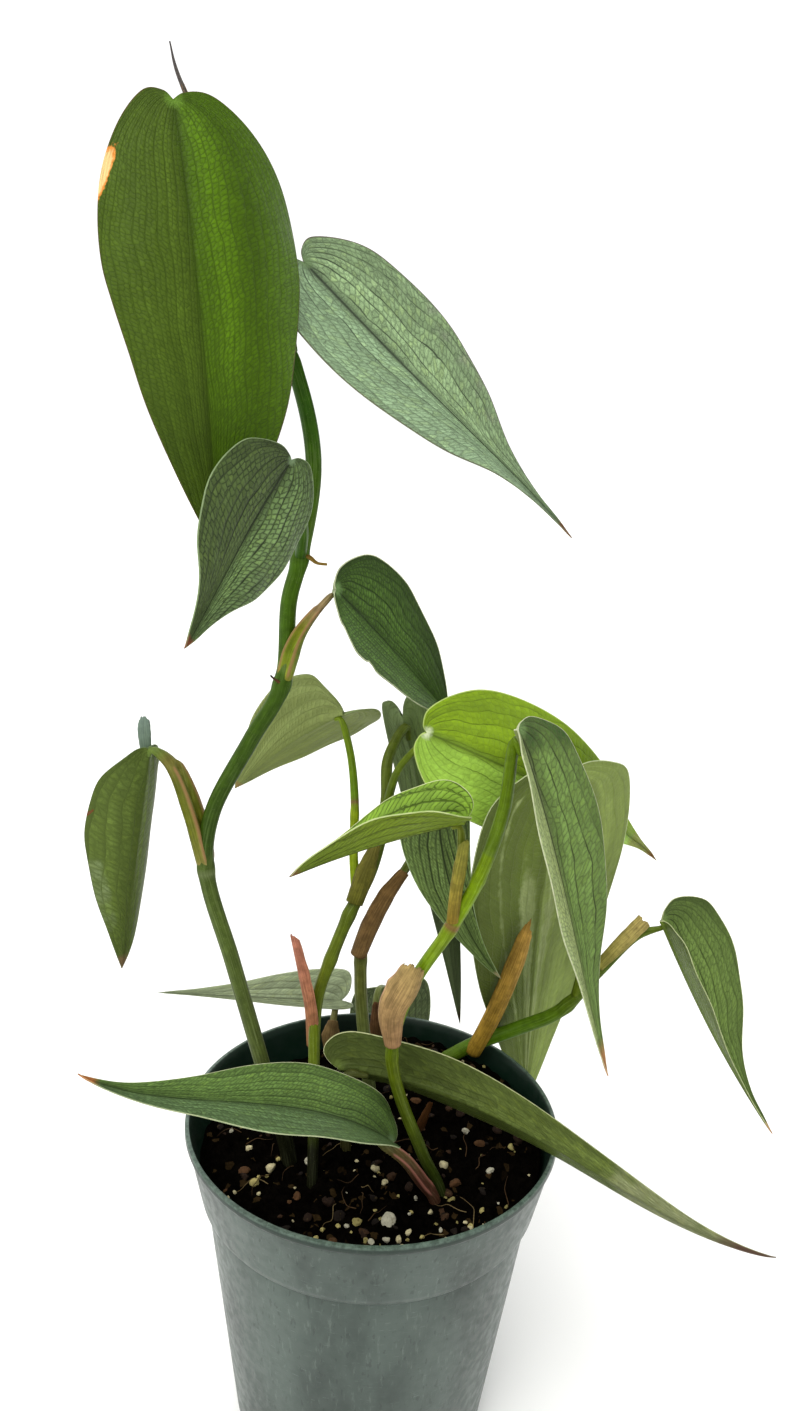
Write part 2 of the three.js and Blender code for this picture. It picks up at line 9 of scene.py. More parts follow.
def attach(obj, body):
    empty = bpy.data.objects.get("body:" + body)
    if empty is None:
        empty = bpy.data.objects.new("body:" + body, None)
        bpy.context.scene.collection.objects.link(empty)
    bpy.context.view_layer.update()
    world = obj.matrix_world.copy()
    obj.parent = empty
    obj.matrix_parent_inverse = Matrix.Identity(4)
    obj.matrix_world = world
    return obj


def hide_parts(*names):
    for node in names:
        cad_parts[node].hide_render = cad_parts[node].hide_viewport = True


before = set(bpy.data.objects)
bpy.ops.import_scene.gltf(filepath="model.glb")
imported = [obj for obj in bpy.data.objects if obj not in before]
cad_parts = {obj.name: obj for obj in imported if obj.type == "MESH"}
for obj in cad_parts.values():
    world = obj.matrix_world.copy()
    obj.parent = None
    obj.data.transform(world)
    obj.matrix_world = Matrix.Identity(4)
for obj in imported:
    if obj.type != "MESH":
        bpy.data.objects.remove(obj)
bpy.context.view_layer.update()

MM = 0.001

# Camera, fitted to the pot's rim and collar. Image 794 x 1411, focal length in pixels.
FOCAL, IMAGE_HEIGHT, SENSOR = 1043.0, 1411.0, 36.0
PITCH, YAW, ROLL = math.radians(14.24), math.radians(9.59), math.radians(2.94)
EYE = Vector((-42.25, -256.5, 280.4)) * MM


def placed(name, data):
    """A new object in the scene that holds the data."""
    made = bpy.data.objects.new(name, data)
    bpy.context.scene.collection.objects.link(made)
    return made


def make_camera():
    ahead = Vector((math.sin(YAW) * math.cos(PITCH), math.cos(YAW) * math.cos(PITCH), -math.sin(PITCH)))
    level = Vector((math.cos(YAW), -math.sin(YAW), 0))
    above = level.cross(ahead)
    right = level * math.cos(ROLL) + above * math.sin(ROLL)
    up = above * math.cos(ROLL) - level * math.sin(ROLL)
    data = bpy.data.cameras.new("camera")
    data.sensor_width = SENSOR
    data.lens = FOCAL * SENSOR / IMAGE_HEIGHT
    data.clip_start, data.clip_end = 0.01, 20
    camera = placed("camera", data)
    camera.matrix_world = Matrix.Translation(EYE) @ Matrix((right, up, -ahead)).transposed().to_4x4()
    bpy.context.scene.camera = camera


make_camera()

# ---------------------------------------------------------------- shader nodes


class Wire:
    """A node's output that can be reckoned with: every operation adds a node."""

    def __init__(self, nodes, output):
        self.nodes, self.output = nodes, output

    def __add__(self, other):
        return self.nodes.math("ADD", self, other)

    def __mul__(self, other):
        return self.nodes.math("MULTIPLY", self, other)

    def __sub__(self, other):
        return self.nodes.math("SUBTRACT", self, other)

    def __rsub__(self, other):
        return self.nodes.math("SUBTRACT", other, self)

    def __truediv__(self, other):
        return self.nodes.math("DIVIDE", self, other)


class Nodes:
    """A short way to write node trees: every value may be a number, a colour or a wire."""

    def __init__(self, tree):
        self.tree = tree

    def put(self, socket, value):
        if isinstance(value, Wire):
            self.tree.links.new(value.output, socket)
        elif isinstance(value, (tuple, list)) and socket.type == "RGBA" and len(value) == 3:
            socket.default_value = (*value, 1)
        else:
            socket.default_value = value

    def wires(self, kind, settings=(), *values, **named):
        """A new node's outputs by name. Its inputs are given in turn, with None for a free one, or by name."""
        node = self.tree.nodes.new("ShaderNode" + kind)
        for key, value in dict(settings).items():
            setattr(node, key, value)
        for socket, value in zip(node.inputs, values):
            if value is not None:
                self.put(socket, value)
        for name, value in named.items():
            self.put(node.inputs[name], value)
        return {output.name: Wire(self, output) for output in node.outputs if output.enabled}

    def math(self, operation, a, b=None):
        return self.wires("Math", {"operation": operation}, a, b)["Value"]

    def step(self, value, low, high, out_low=0.0, out_high=1.0):
        return self.wires("MapRange", {"interpolation_type": "SMOOTHSTEP"}, value, low, high, out_low,
                          out_high)["Result"]

    def mix(self, factor, a, b, blend="MIX"):
        settings = {"data_type": "RGBA", "blend_type": blend, "clamp_factor": True}
        return self.wires("Mix", settings, factor, *[None] * 5, a, b)["Result"]

    def scaled(self, color, factor):
        """The colour times a number."""
        return self.wires("VectorMath", {"operation": "SCALE"}, color, Scale=factor)["Vector"]

    def noise(self, vector, scale, detail=2.0, rough=0.5):
        return self.wires("TexNoise", Vector=vector, Scale=scale, Detail=detail, Roughness=rough)["Fac"]

    def cracks(self, vector, scale, randomness):
        """The distance to the nearest border of uneven flat cells."""
        settings = {"feature": "DISTANCE_TO_EDGE", "voronoi_dimensions": "2D"}
        return self.wires("TexVoronoi", settings, Vector=vector, Scale=scale, Randomness=randomness)["Distance"]

    def cells(self, vector, scale, randomness=1.0, dimensions="3D"):
        return self.wires("TexVoronoi", {"voronoi_dimensions": dimensions}, Vector=vector, Scale=scale,
                          Randomness=randomness)

    def luck(self, number):
        """A random value that belongs to the number."""
        return self.wires("TexWhiteNoise", {"noise_dimensions": "1D"}, W=number)["Value"]

    def parts(self, vector):
        return list(self.wires("SeparateXYZ", (), vector).values())

    def attribute(self, name):
        """The three values that a piece's points carry under the name."""
        return self.parts(self.wires("Attribute", {"attribute_name": name})["Vector"])

    def tint(self):
        return self.wires("Attribute", {"attribute_name": "tint"})["Color"]

    def join(self, x, y, z=0.0):
        return self.wires("CombineXYZ", (), x, y, z)["Vector"]

    def place_mm(self):
        """The point on the object, in millimetres."""
        return self.scaled(self.wires("TexCoord")["Object"], 1000.0)


def linear(r, g, b):
    """A colour given as 0-255 screen values, as the linear one that shaders take."""
    def one(v):
        v /= 255
        return v / 12.92 if v <= 0.04045 else ((v + 0.055) / 1.055) ** 2.4
    return (one(r), one(g), one(b))


class Material(Nodes):
    def __init__(self, name, roughness, specular):
        self.data = bpy.data.materials.new(name)
        self.data.use_nodes = True
        super().__init__(self.data.node_tree)
        self.shader = self.tree.nodes["Principled BSDF"].inputs
        self.shader["Roughness"].default_value = roughness
        self.shader["Specular IOR Level"].default_value = specular

    def cover(self, color, height_mm=None, strength=1.0):
        """Puts on the colour and the relief, and returns the finished material."""
        self.put(self.shader["Base Color"], color)
        if height_mm is not None:
            self.put(self.shader["Normal"],
                     self.wires("Bump", Strength=strength, Distance=MM, Height=height_mm)["Normal"])
        return self.data


# ---------------------------------------------------------------- leaf shader

LEAF_COLORS = ("Cell", "Cell Right", "Dark", "Vein", "Cast", "Margin", "Tip", "Sinus", "Blemish")
# What a leaf's upper face and underside have unless its own look says otherwise.
LEAF_AMOUNTS = {
    "lines": (0.8, 0.4),          # the main veins
    "halves": (0, 0.2),           # the thinner ones midway between them
    "cells": (0.55, 0.1),         # the veins round the cells
    "net": (0.25, 0.05),          # the finest mesh of veins
    "panels": (0.4, 0.1),         # how much painted shade darkens the cells' edges, next to the veins
    "mottle": (0.35, 0.1),        # how much the cells differ
    "pleats": (0.25, 0.12),       # how much the strips between main veins differ
    "bands": (0, 0.7),            # broad soft bands along the leaf
    "stripes": (0, 0.35),         # fine streaks along the leaf
    "groove": (0.5, 0.2),         # the shade along the midrib
    "cell_gap": (1.6, 1.6),       # mm from one cross vein to the next
    "cell_rows": (2, 1),          # cells from one main vein to the next
    "loose": (0.6, 0.6),          # how unevenly the cells lie
    "line_width": (0.3, 0.3),     # mm, as are the margin, the notch's pale reach and the midrib
    "margin_width": (0.4, 0.4),
    "sinus_reach": (3, 3),
    "rib_width": (0.45, 0.45),
    "tip_start": (0.93, 0.93),    # share of the leaf's length
    "variation": (0.4, 0.4),      # how cloudy the colour is
}


def leaf_group():
    tree = bpy.data.node_groups.new("leaf_face", "ShaderNodeTree")
    for name in LEAF_COLORS:
        tree.interface.new_socket(name, in_out="INPUT", socket_type="NodeSocketColor")
    for name in LEAF_AMOUNTS:
        tree.interface.new_socket(name, in_out="INPUT", socket_type="NodeSocketFloat")
    for name, kind in (("Color", "Color"), ("Roughness", "Float"), ("Height", "Float")):
        tree.interface.new_socket(name, in_out="OUTPUT", socket_type="NodeSocket" + kind)
    n = Nodes(tree)
    given = {socket.name: Wire(n, socket) for socket in tree.nodes.new("NodeGroupInput").outputs}
    result = tree.nodes.new("NodeGroupOutput").inputs

    place = n.place_mm()
    vein, run, pitch = n.attribute("leaf_a")
    rib, edge, share = n.attribute("leaf_b")
    notch, blemish, light_and_tone = n.attribute("leaf_c")
    shade_and_hue = n.attribute("leaf_d")[0]
    wobble, waver = n.noise(place, 0.35, 2) - 0.5, n.noise(place, 1.1, 2) - 0.5
    side = n.math("SIGN", rib)

    # Main veins lie at whole numbers of the vein coordinate, with a strip between each two.
    drift = n.noise(place, 0.06, 1) - 0.5
    bent = vein + 100.0 + (wobble * 0.2 + drift * 1.6)
    strip = n.math("FLOOR", bent) + side * 31.7
    across = n.math("FRACT", bent)
    middle = n.math("ABSOLUTE", across - 0.5)
    whole, halves = (0.5 - middle) * pitch, middle * pitch
    luck = n.luck(strip)
    width = given["line_width"]
    thin = width * 0.6
    vein_luck = n.luck(n.math("FLOOR", bent + 0.5) + side * 13.3)
    fade = (vein_luck * 0.4 + 0.6) * n.step(n.noise(place, 0.16, 2), 0.32, 0.58, 0.45, 1.0)
    main = n.step(whole, width * 1.1, width * 0.35) * fade
    second = n.step(halves, thin * 1.1, thin * 0.35)

    # Cells in each strip, between uneven cross veins, and the finest mesh in them.
    gap, loose = given["cell_gap"], given["loose"]
    column = across * given["cell_rows"] + strip * 17.0 + (loose * 0.5 + 0.5 + waver * 0.3)
    row = run / gap + (luck * 9.0 + waver * 0.45)
    grid = n.join(column, row)
    mesh = n.cracks(grid, 1.0, loose) * gap
    crack = n.step(mesh, thin * 1.2, thin * 0.35) * n.step(n.noise(place, 0.5, 1), 0.3, 0.55, 0.45, 1.0)
    pick = n.parts(n.cells(grid, 1.0, loose, "2D")["Color"])
    net = n.step(n.cracks(grid, 2.6, 1.0), 0.16, 0.04) * n.step(n.noise(place, 0.4, 1), 0.3, 0.6, 0.3, 1.0)

    rib_gap = n.math("ABSOLUTE", rib)
    rib_width = given["rib_width"] * n.step(share, 1.0, 0.0, 0.35, 1.0)
    midrib = n.step(rib_gap, rib_width, rib_width * 0.4)
    groove = n.step(rib_gap, rib_width * 5.5, 0.0) * n.step(share, 0.95, 0.1) * given["groove"]

    # Colour: cell, then painted shade towards its veins and along the midrib's groove, then the veins.
    color = n.mix(n.step(rib, -1.0, 1.0), given["Cell"], given["Cell Right"])
    fleck = n.noise(place, 0.9, 3, 0.6)
    swing = (n.noise(place, 0.09, 3) - 0.5) * 0.7 + (fleck - 0.5) * 0.9
    pleat = luck - 0.5 + (across - 0.5) * 0.8
    # The third value of leaf_c paints light and shade in soft bands, along with the leaf's own lighter and darker
    # parts.
    for factor in (given["variation"] * swing + 1.0, given["pleats"] * pleat + 1.0, light_and_tone):
        color = n.scaled(color, factor)
    # Towards the second colour: painted shade on some leaves, a real change of colour on others.
    color = n.mix(n.step(shade_and_hue + (n.noise(place, 0.2, 3) - 0.5) * 1.6, 0.2, 0.9), color, given["Cast"])
    band = n.noise(n.join(vein * 0.55, run * 0.008, side), 1.0, 2)
    color = n.mix(n.step(band, 0.42, 0.62) * given["bands"], color, given["Dark"])
    streak = n.noise(n.join(vein * 7.0, run * 0.12, side), 1.0, 3, 0.7)
    color = n.mix(n.step(streak, 0.4, 0.7) * given["stripes"], color, given["Dark"])
    color = n.scaled(color, given["mottle"] * (pick[0] - 0.5) + 1.0)
    color = n.mix(n.step(pick[1], 0.72, 0.95) * given["mottle"] * 0.8, color,
                  n.mix(1.0, color, (1.3, 1.25, 0.8), "MULTIPLY"))
    nearest = n.math("MINIMUM", whole, mesh)
    color = n.mix(n.math("MAXIMUM", n.step(nearest, 0.6, 0.05) * given["panels"], groove), color, given["Dark"])
    lines = n.math("MAXIMUM", main, second * given["halves"]) * given["lines"]
    for other in (crack * given["cells"], net * given["net"], midrib * given["lines"]):
        lines = n.math("MAXIMUM", lines, other)
    color = n.mix(lines, color, given["Vein"])

    # Notch, tip, margin and blemish.
    color = n.mix(n.step(notch + waver * 1.5, given["sinus_reach"], 0.4) * 0.9, color, given["Sinus"])
    start, margin = given["tip_start"], given["margin_width"]
    tip = n.step(share + wobble * 0.05, start, start * 0.5 + 0.5)
    color = n.mix(tip, color, given["Tip"])
    color = n.mix(n.step(edge + waver * 0.25, margin, margin * 0.35), color, given["Margin"])
    ragged = blemish + waver * 0.35
    charred = n.mix(1.0, given["Blemish"], (0.8, 0.42, 0.18), "MULTIPLY")
    color = n.mix(n.step(ragged, 0.2, 0.3), color, charred)
    spot = n.step(ragged, 0.32, 0.5)
    dry = n.mix(n.step(streak, 0.45, 0.65), given["Blemish"], n.scaled(given["Blemish"], 0.6))
    n.put(result["Color"], n.mix(spot, color, dry))

    dull = n.noise(place, 0.3, 3) * 0.22 + 0.31
    n.put(result["Roughness"], dull + n.math("MAXIMUM", tip, spot) * 0.25)
    relief = main * -0.12 + second * -0.03 + (crack * -0.05 + net * -0.02)
    n.put(result["Height"], relief + n.step(nearest, 0.0, 0.8) * 0.06 + fleck * 0.04)
    return tree


LEAF_GROUP = leaf_group()


def leaf_material(name, colors, amounts, specular, relief=1.0):
    skin = Material(name, 0.5, specular)
    group = skin.tree.nodes.new("ShaderNodeGroup")
    group.node_tree = LEAF_GROUP
    for key, value in {**colors, **amounts}.items():
        skin.put(group.inputs[key], value)
    color, roughness, height = (Wire(skin, output) for output in group.outputs)
    skin.put(skin.shader["Roughness"], roughness)
    return skin.cover(color, height * relief, 0.8)


# ---------------------------------------------------------------- meshes


def smoothstep(x, low, high):
    x = np.clip((np.asarray(x, float) - low) / (high - low), 0, 1)
    return x * x * (3 - 2 * x)


def hill(x, at, wide):
    return np.exp(-((x - at) / wide) ** 2)


def unit(v):
    return v / np.maximum(np.linalg.norm(v, axis=-1, keepdims=True), 1e-12)


def lookup(at, places, values):
    """Rows of three values, read between those at the given places."""
    return np.stack([np.interp(at, places, values[:, i]) for i in range(3)], -1)


def grid_faces(rows, columns, offset=0, wrap=False):
    """Quads over a grid of rows x columns points. wrap joins the last column to the first."""
    i = np.arange(rows - 1)[:, None]
    j = np.arange(columns if wrap else columns - 1)[None, :]
    k = (j + 1) % columns
    quad = np.stack([i * columns + j, i * columns + k, (i + 1) * columns + k, (i + 1) * columns + j], -1)
    return quad.reshape(-1, 4) + offset


def tube_faces(rows, columns):
    """A wrapped grid, closed by fans to two more points, one at its start and one at its end."""
    j = np.arange(columns)
    k = (j + 1) % columns
    first, last = rows * columns + 0 * j, rows * columns + 1 + 0 * j
    end = (rows - 1) * columns
    fans = np.stack([np.stack([first, k, j], 1), np.stack([last, end + j, end + k], 1)], 1)
    return grid_faces(rows, columns, wrap=True).tolist() + fans.reshape(-1, 3).tolist()


def sheet(upper, lower):
    """A sheet's points, its faces and their kinds: 0 above, 1 below and 2 round the edge."""
    rows, columns = upper.shape[:2]
    total = rows * columns
    top = grid_faces(rows, columns)
    ring = np.concatenate([
        np.arange(columns - 1), np.arange(rows - 1) * columns + columns - 1,
        (rows - 1) * columns + np.arange(columns - 1, 0, -1), np.arange(rows - 1, 0, -1) * columns])
    following = np.roll(ring, -1)
    strip = np.stack([following, ring, ring + total, following + total], 1)
    points = np.vstack([upper.reshape(-1, 3), lower.reshape(-1, 3)])
    kinds = np.repeat([0, 1, 2], [len(top), len(top), len(strip)])
    return points, np.vstack([top, grid_faces(rows, columns, total)[:, ::-1], strip]), kinds


def twice(*values):
    """Grids of values, as one row for each point of both of a sheet's faces."""
    rows = np.stack(np.broadcast_arrays(*values), -1).reshape(-1, len(values))
    return np.vstack([rows, rows])


def add_piece(name, points_mm, faces, materials, replaced=(), kinds=None, attributes=None):
    """A visible piece. Attributes have four values a point for a colour, or else three."""
    mesh = bpy.data.meshes.new(name)
    mesh.from_pydata((np.asarray(points_mm) * MM).tolist(), [], [list(map(int, f)) for f in faces])
    for key, values in (attributes or {}).items():
        values = np.asarray(values, float)
        kind, field = ("FLOAT_COLOR", "color") if values.shape[1] == 4 else ("FLOAT_VECTOR", "vector")
        mesh.attributes.new(key, kind, "POINT").data.foreach_set(field, values.ravel())
    for material in materials:
        mesh.materials.append(material)
    if kinds is not None:
        mesh.polygons.foreach_set("material_index", np.asarray(kinds, np.int32))
    mesh.polygons.foreach_set("use_smooth", np.full(len(mesh.polygons), True))
    mesh.update()
    piece = placed(name, mesh)
    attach(piece, "root")
    if replaced:
        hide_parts(*replaced)
    return piece


# ---------------------------------------------------------------- leaves

OUTLINE = np.array([
    (0, 0), (0.1, -0.55), (0.32, -0.97), (0.62, -0.88), (0.86, -0.4), (0.98, 0.07), (1, 0.22),
    (0.93, 0.38), (0.78, 0.55), (0.56, 0.71), (0.32, 0.85), (0.12, 0.95), (0, 1),
], float)
SPINE_STEPS = 24
# All in mm: half a blade's thickness, the steps of its grid across and along, how deep and how wide
# a vein is pressed in, and the same for the rib below.
HALF_BLADE = 0.27
STEP_ACROSS, STEP_ALONG = 1.1, 0.85
VEIN_DEPTH, VEIN_REACH = 0.09, 0.7
RIB_DEPTH, RIB_REACH = 0.75, 1.1


def blade(base, tip, facing, widths, lobes, folds, shoulder=0, **more):
    """A leaf's measures, in mm, degrees and shares of its length. Pairs belong to its two halves.

    facing is the compass direction and the height that its upper side looks to. lobes reach back
    behind the base, and folds tilt the halves up. arch and curl bend the midrib down, bend swings
    it to a side, and twist turns the blade about it. belly and drip change the outline's middle
    and tip, cup lifts the edges, and wave is the edge's ripple.
    """
    plain = dict(arch=0, curl=0, bend=0, twist=0, belly=0, drip=0, cup=0, wave=0.25, nicks=())
    return {**plain, "base": base, "tip": tip, "facing": facing, "widths": widths, "lobes": lobes,
            "folds": folds, "shoulders": np.broadcast_to(shoulder, 2), **more}


# The same leaves as in the CAD, with finer outlines for leaf_upper_right, leaf_wavy, leaf_narrow and
# leaf_right. veins is the number of main veins on each half, and lean is how much they run on
# towards the tip. A nick is its half, its place, its depth and its width.
LEAVES = {
    "leaf_top": blade((-55, 2, 350), (-44.5, -12, 252.5), (9, 1), (28.5, 20), (3, 4), (14, 14), shoulder=0.21,
        belly=-0.29, drip=-0.29, arch=24, bend=3, cup=-39, veins=9, lean=5),
    "leaf_upper_right": blade((-24, 26, 322.5), (50.5, 20, 257), (22, 28), (20, 23), (6, 5), (4, 19),
        shoulder=0.14, belly=-0.13, drip=0.7, arch=11, curl=10, bend=-18, twist=16, veins=6, lean=3.6),
    "leaf_upper_small": blade((-28.5, -16, 275), (-51, -38, 236), (39, -9), (17, 15), (4, 1), (8, 8),
        shoulder=0.17, drip=0.4, arch=-8, curl=10, bend=-6, twist=7, cup=-15, veins=6, lean=3.2),
    "leaf_wavy": blade((-16, -1, 244), (19, 19, 207), (26, 32), (16.5, 14.5), (3, 1), (15, 21), shoulder=0.13,
        drip=-0.27, arch=-1, bend=6, veins=6, lean=3, nicks=[(1, 0.31, 0.12, 0.04), (1, 0.4, -0.07, 0.035),
        (1, 0.475, 0.09, 0.018)], wave=0.15),
    "leaf_lime": blade((10, 4, 206), (105.4, 61.6, 143.9), (-2, 22), (19, 17.7), (4, 3.5), (15, -1),
        shoulder=0.11, belly=-0.38, drip=0.72, arch=34, bend=5, veins=5, lean=2.6),
    "leaf_front": blade((22.5, -38, 219), (47, -52, 138.5), (36, 11), (14.5, 14), (2.5, 0.5), (22, 28),
        shoulder=0.1, belly=-0.24, drip=0.56, arch=15, curl=-14, twist=-22, veins=4, lean=2),
    "leaf_back_large": blade((48.2, 6.7, 190.2), (58.2, 39.3, 65.3), (196, -1), (26, 28.2), (9.9, 6.1),
        (-3, 1), shoulder=0.05, belly=-0.05, drip=0.08, arch=15, bend=-5, veins=8, lean=3.4),
    "leaf_folded": blade((13, -32, 195), (-28, -40, 185), (0, 93), (17, 11), (0.5, 3.5), (48, 35),
        shoulder=0.04, belly=-0.26, drip=0.18, curl=4, bend=-17, twist=-52, veins=4, lean=1.4),
    "leaf_dark_inner": blade((16, 10, 181.5), (36, 4, 133), (-9, 1), (8.6, 11.5), (5, 5), (10, 10),
        shoulder=-0.06, belly=-0.62, drip=0.26, arch=8, bend=-37, veins=5, lean=4.2),
    "leaf_back_left": blade((-8.5, 35, 203), (-39.5, 48, 175.5), (186, 26), (18.5, 13.5), (1.5, 8), (12, 15),
        belly=-0.13, drip=0.11, arch=32, bend=-1, veins=7, lean=2.6),
    "leaf_narrow": blade((8, 30, 203.5), (30, 24, 106.5), (179, 5), (6, 8), (5, 5), (10, 10), shoulder=-0.03,
        belly=-0.2, arch=10, bend=-8, veins=4, lean=1.6),
    "leaf_left": blade((-62, 6, 201), (-69, 2, 141), (221, 3), (13.5, 13), (1, 1), (-9, 8), shoulder=0.21,
        drip=-0.13, arch=12, bend=-11, cup=37, veins=4, lean=2),
    "leaf_right": blade((86.5, 12, 146), (120, -8, 85.5), (52, 15), (19, 12.5), (5, 0.5), (40, 40),
        shoulder=0.06, belly=-0.33, drip=0.72, arch=-14, bend=-1, veins=6, lean=2.4),
    "leaf_low_left": blade((0.5, -30, 107), (-72, -58, 149.5), (-2, 77), (13, 11.5), (0.5, 3.5), (15, 35),
        shoulder=(0.22, 0.03), belly=-0.1, drip=0.4, arch=60, curl=-59, bend=4, twist=25, veins=6, lean=2.4),
    "leaf_low_right": blade((-11.5, -9, 116), (95, -56, 87), (162, 26), (14, 11), (0.5, 4.5), (16, 35),
        shoulder=0.01, belly=-0.6, drip=0.27, arch=46, curl=-54, bend=-13, twist=13, veins=6, lean=2.2),
    "leaf_behind_left": blade((-5, 46, 103.5), (-64, 62, 99.5), (0, 38), (3, 10), (4, 3), (10, 9),
        shoulder=-0.04, belly=-0.74, drip=0.35, arch=3, bend=1, veins=4, lean=1.6),
    "leaf_behind_pot": blade((13.5, 62, 97.5), (21.5, 84, 34), (-3, 39), (15, 14), (5.5, 2.5), (8, 11),
        shoulder=-0.03, belly=-0.23, arch=18, bend=-11, veins=7, lean=2.4),
}


def rib_frame(leaf, share, twist=None):
    """The midrib's direction, the way across and the upper side at shares of the leaf's length."""
    share = np.asarray(share, float)
    drop = -np.radians(leaf["arch"] * share + leaf["curl"] * np.maximum(share, 0) ** 4)
    swing = np.radians(leaf["bend"] * share)
    turn = np.radians((leaf["twist"] if twist is None else twist) * (share - 0.5))[..., None]
    forward = np.stack([np.sin(swing) * np.cos(drop), np.cos(swing) * np.cos(drop), np.sin(drop)], -1)
    level = np.stack([np.cos(swing), -np.sin(swing), 0 * swing], -1)
    across = level * np.cos(turn) - np.cross(forward, level) * np.sin(turn)
    return forward, across, np.cross(across, forward)


def rib_point(leaf, share):
    share = np.asarray(share, float)
    middles = (np.arange(SPINE_STEPS) + 0.5) / SPINE_STEPS
    forward = rib_frame(leaf, share[..., None] * middles)[0]
    return (forward * (share[..., None, None] / SPINE_STEPS)).sum(-2)


def basis_of(forward, up):
    y = unit(np.asarray(forward, float))
    z = unit(up - y * (up @ y))
    return np.stack([np.cross(y, z), y, z], 1)


def lay_out(leaf):
    """The leaf's length, and a function from across, share of length and height to points."""
    base, tip = np.array(leaf["base"], float), np.array(leaf["tip"], float)
    reach = rib_point(leaf, np.array(1.0))
    length = np.linalg.norm(tip - base) / np.linalg.norm(reach)
    compass, height = np.radians(leaf["facing"])
    face = np.array([np.sin(compass) * np.cos(height), -np.cos(compass) * np.cos(height), np.sin(height)])
    own = basis_of(reach, rib_frame(leaf, 0.5, 0)[2])
    turn = basis_of(tip - base, face) @ own.T

    def place(across, share, high):
        _, side, up = rib_frame(leaf, share)
        point = rib_point(leaf, share) * length + side * np.asarray(across)[..., None]
        return (point + up * np.asarray(high)[..., None]) @ turn.T + base

    return length, place


def half_outline(leaf, half, length, s):
    x, y = OUTLINE.T
    run = np.where(y > 0, y + leaf["belly"] * y * (1 - y), y * leaf["lobes"][half] / length)
    wide = x * (1 - leaf["drip"] * smoothstep(y, 0.45, 0.9))
    points = np.stack([wide, run + leaf["shoulders"][half] * x * x * (1 - run)], 1)
    last = len(points) - 1
    place = np.clip(s * last, 0, last - 1e-9)
    k = place.astype(int)
    f = (place - k)[:, None]
    p0, p1 = points[np.maximum(k - 1, 0)], points[k]
    p2, p3 = points[np.minimum(k + 1, last)], points[np.minimum(k + 2, last)]
    return 0.5 * (2 * p1 + (p2 - p0) * f + (2 * p0 - 5 * p1 + 4 * p2 - p3) * f ** 2
                  + (3 * p1 - p0 - 3 * p2 + p3) * f ** 3)


def blade_grid(leaf, t, s):
    """The blade's middle surface, with rows along s and columns across t, and its rib coordinates."""
    length, place = lay_out(leaf)
    side, size, down = np.sign(t)[None, :], np.abs(t)[None, :], s[:, None]
    left = t[None, :] < 0
    outline = [half_outline(leaf, half, length, s) for half in (0, 1)]
    x, y = (np.where(left, outline[0][:, i:i + 1], outline[1][:, i:i + 1]) for i in (0, 1))
    bite = np.ones_like(x)
    for half, middle, deep, wide in leaf["nicks"]:
        bite = bite - deep * hill(down, middle, wide) * (side == half) * size ** 6
    rib = 0.06 * down + 0.94 * down ** 3.2
    out = size * x * np.where(left, *leaf["widths"]) * bite
    share = rib + (y - rib) * size ** 1.25
    lift = np.radians(np.where(left, *leaf["folds"]) + leaf["cup"] * out / max(leaf["widths"]))
    ripple = leaf["wave"] * np.sin(2 * np.pi * (5 * down + 0.31 * side)) * size ** 3 * np.sin(np.pi * down)
    return place(side * out * np.cos(lift), share, out * np.sin(lift) + ripple), side * out, share


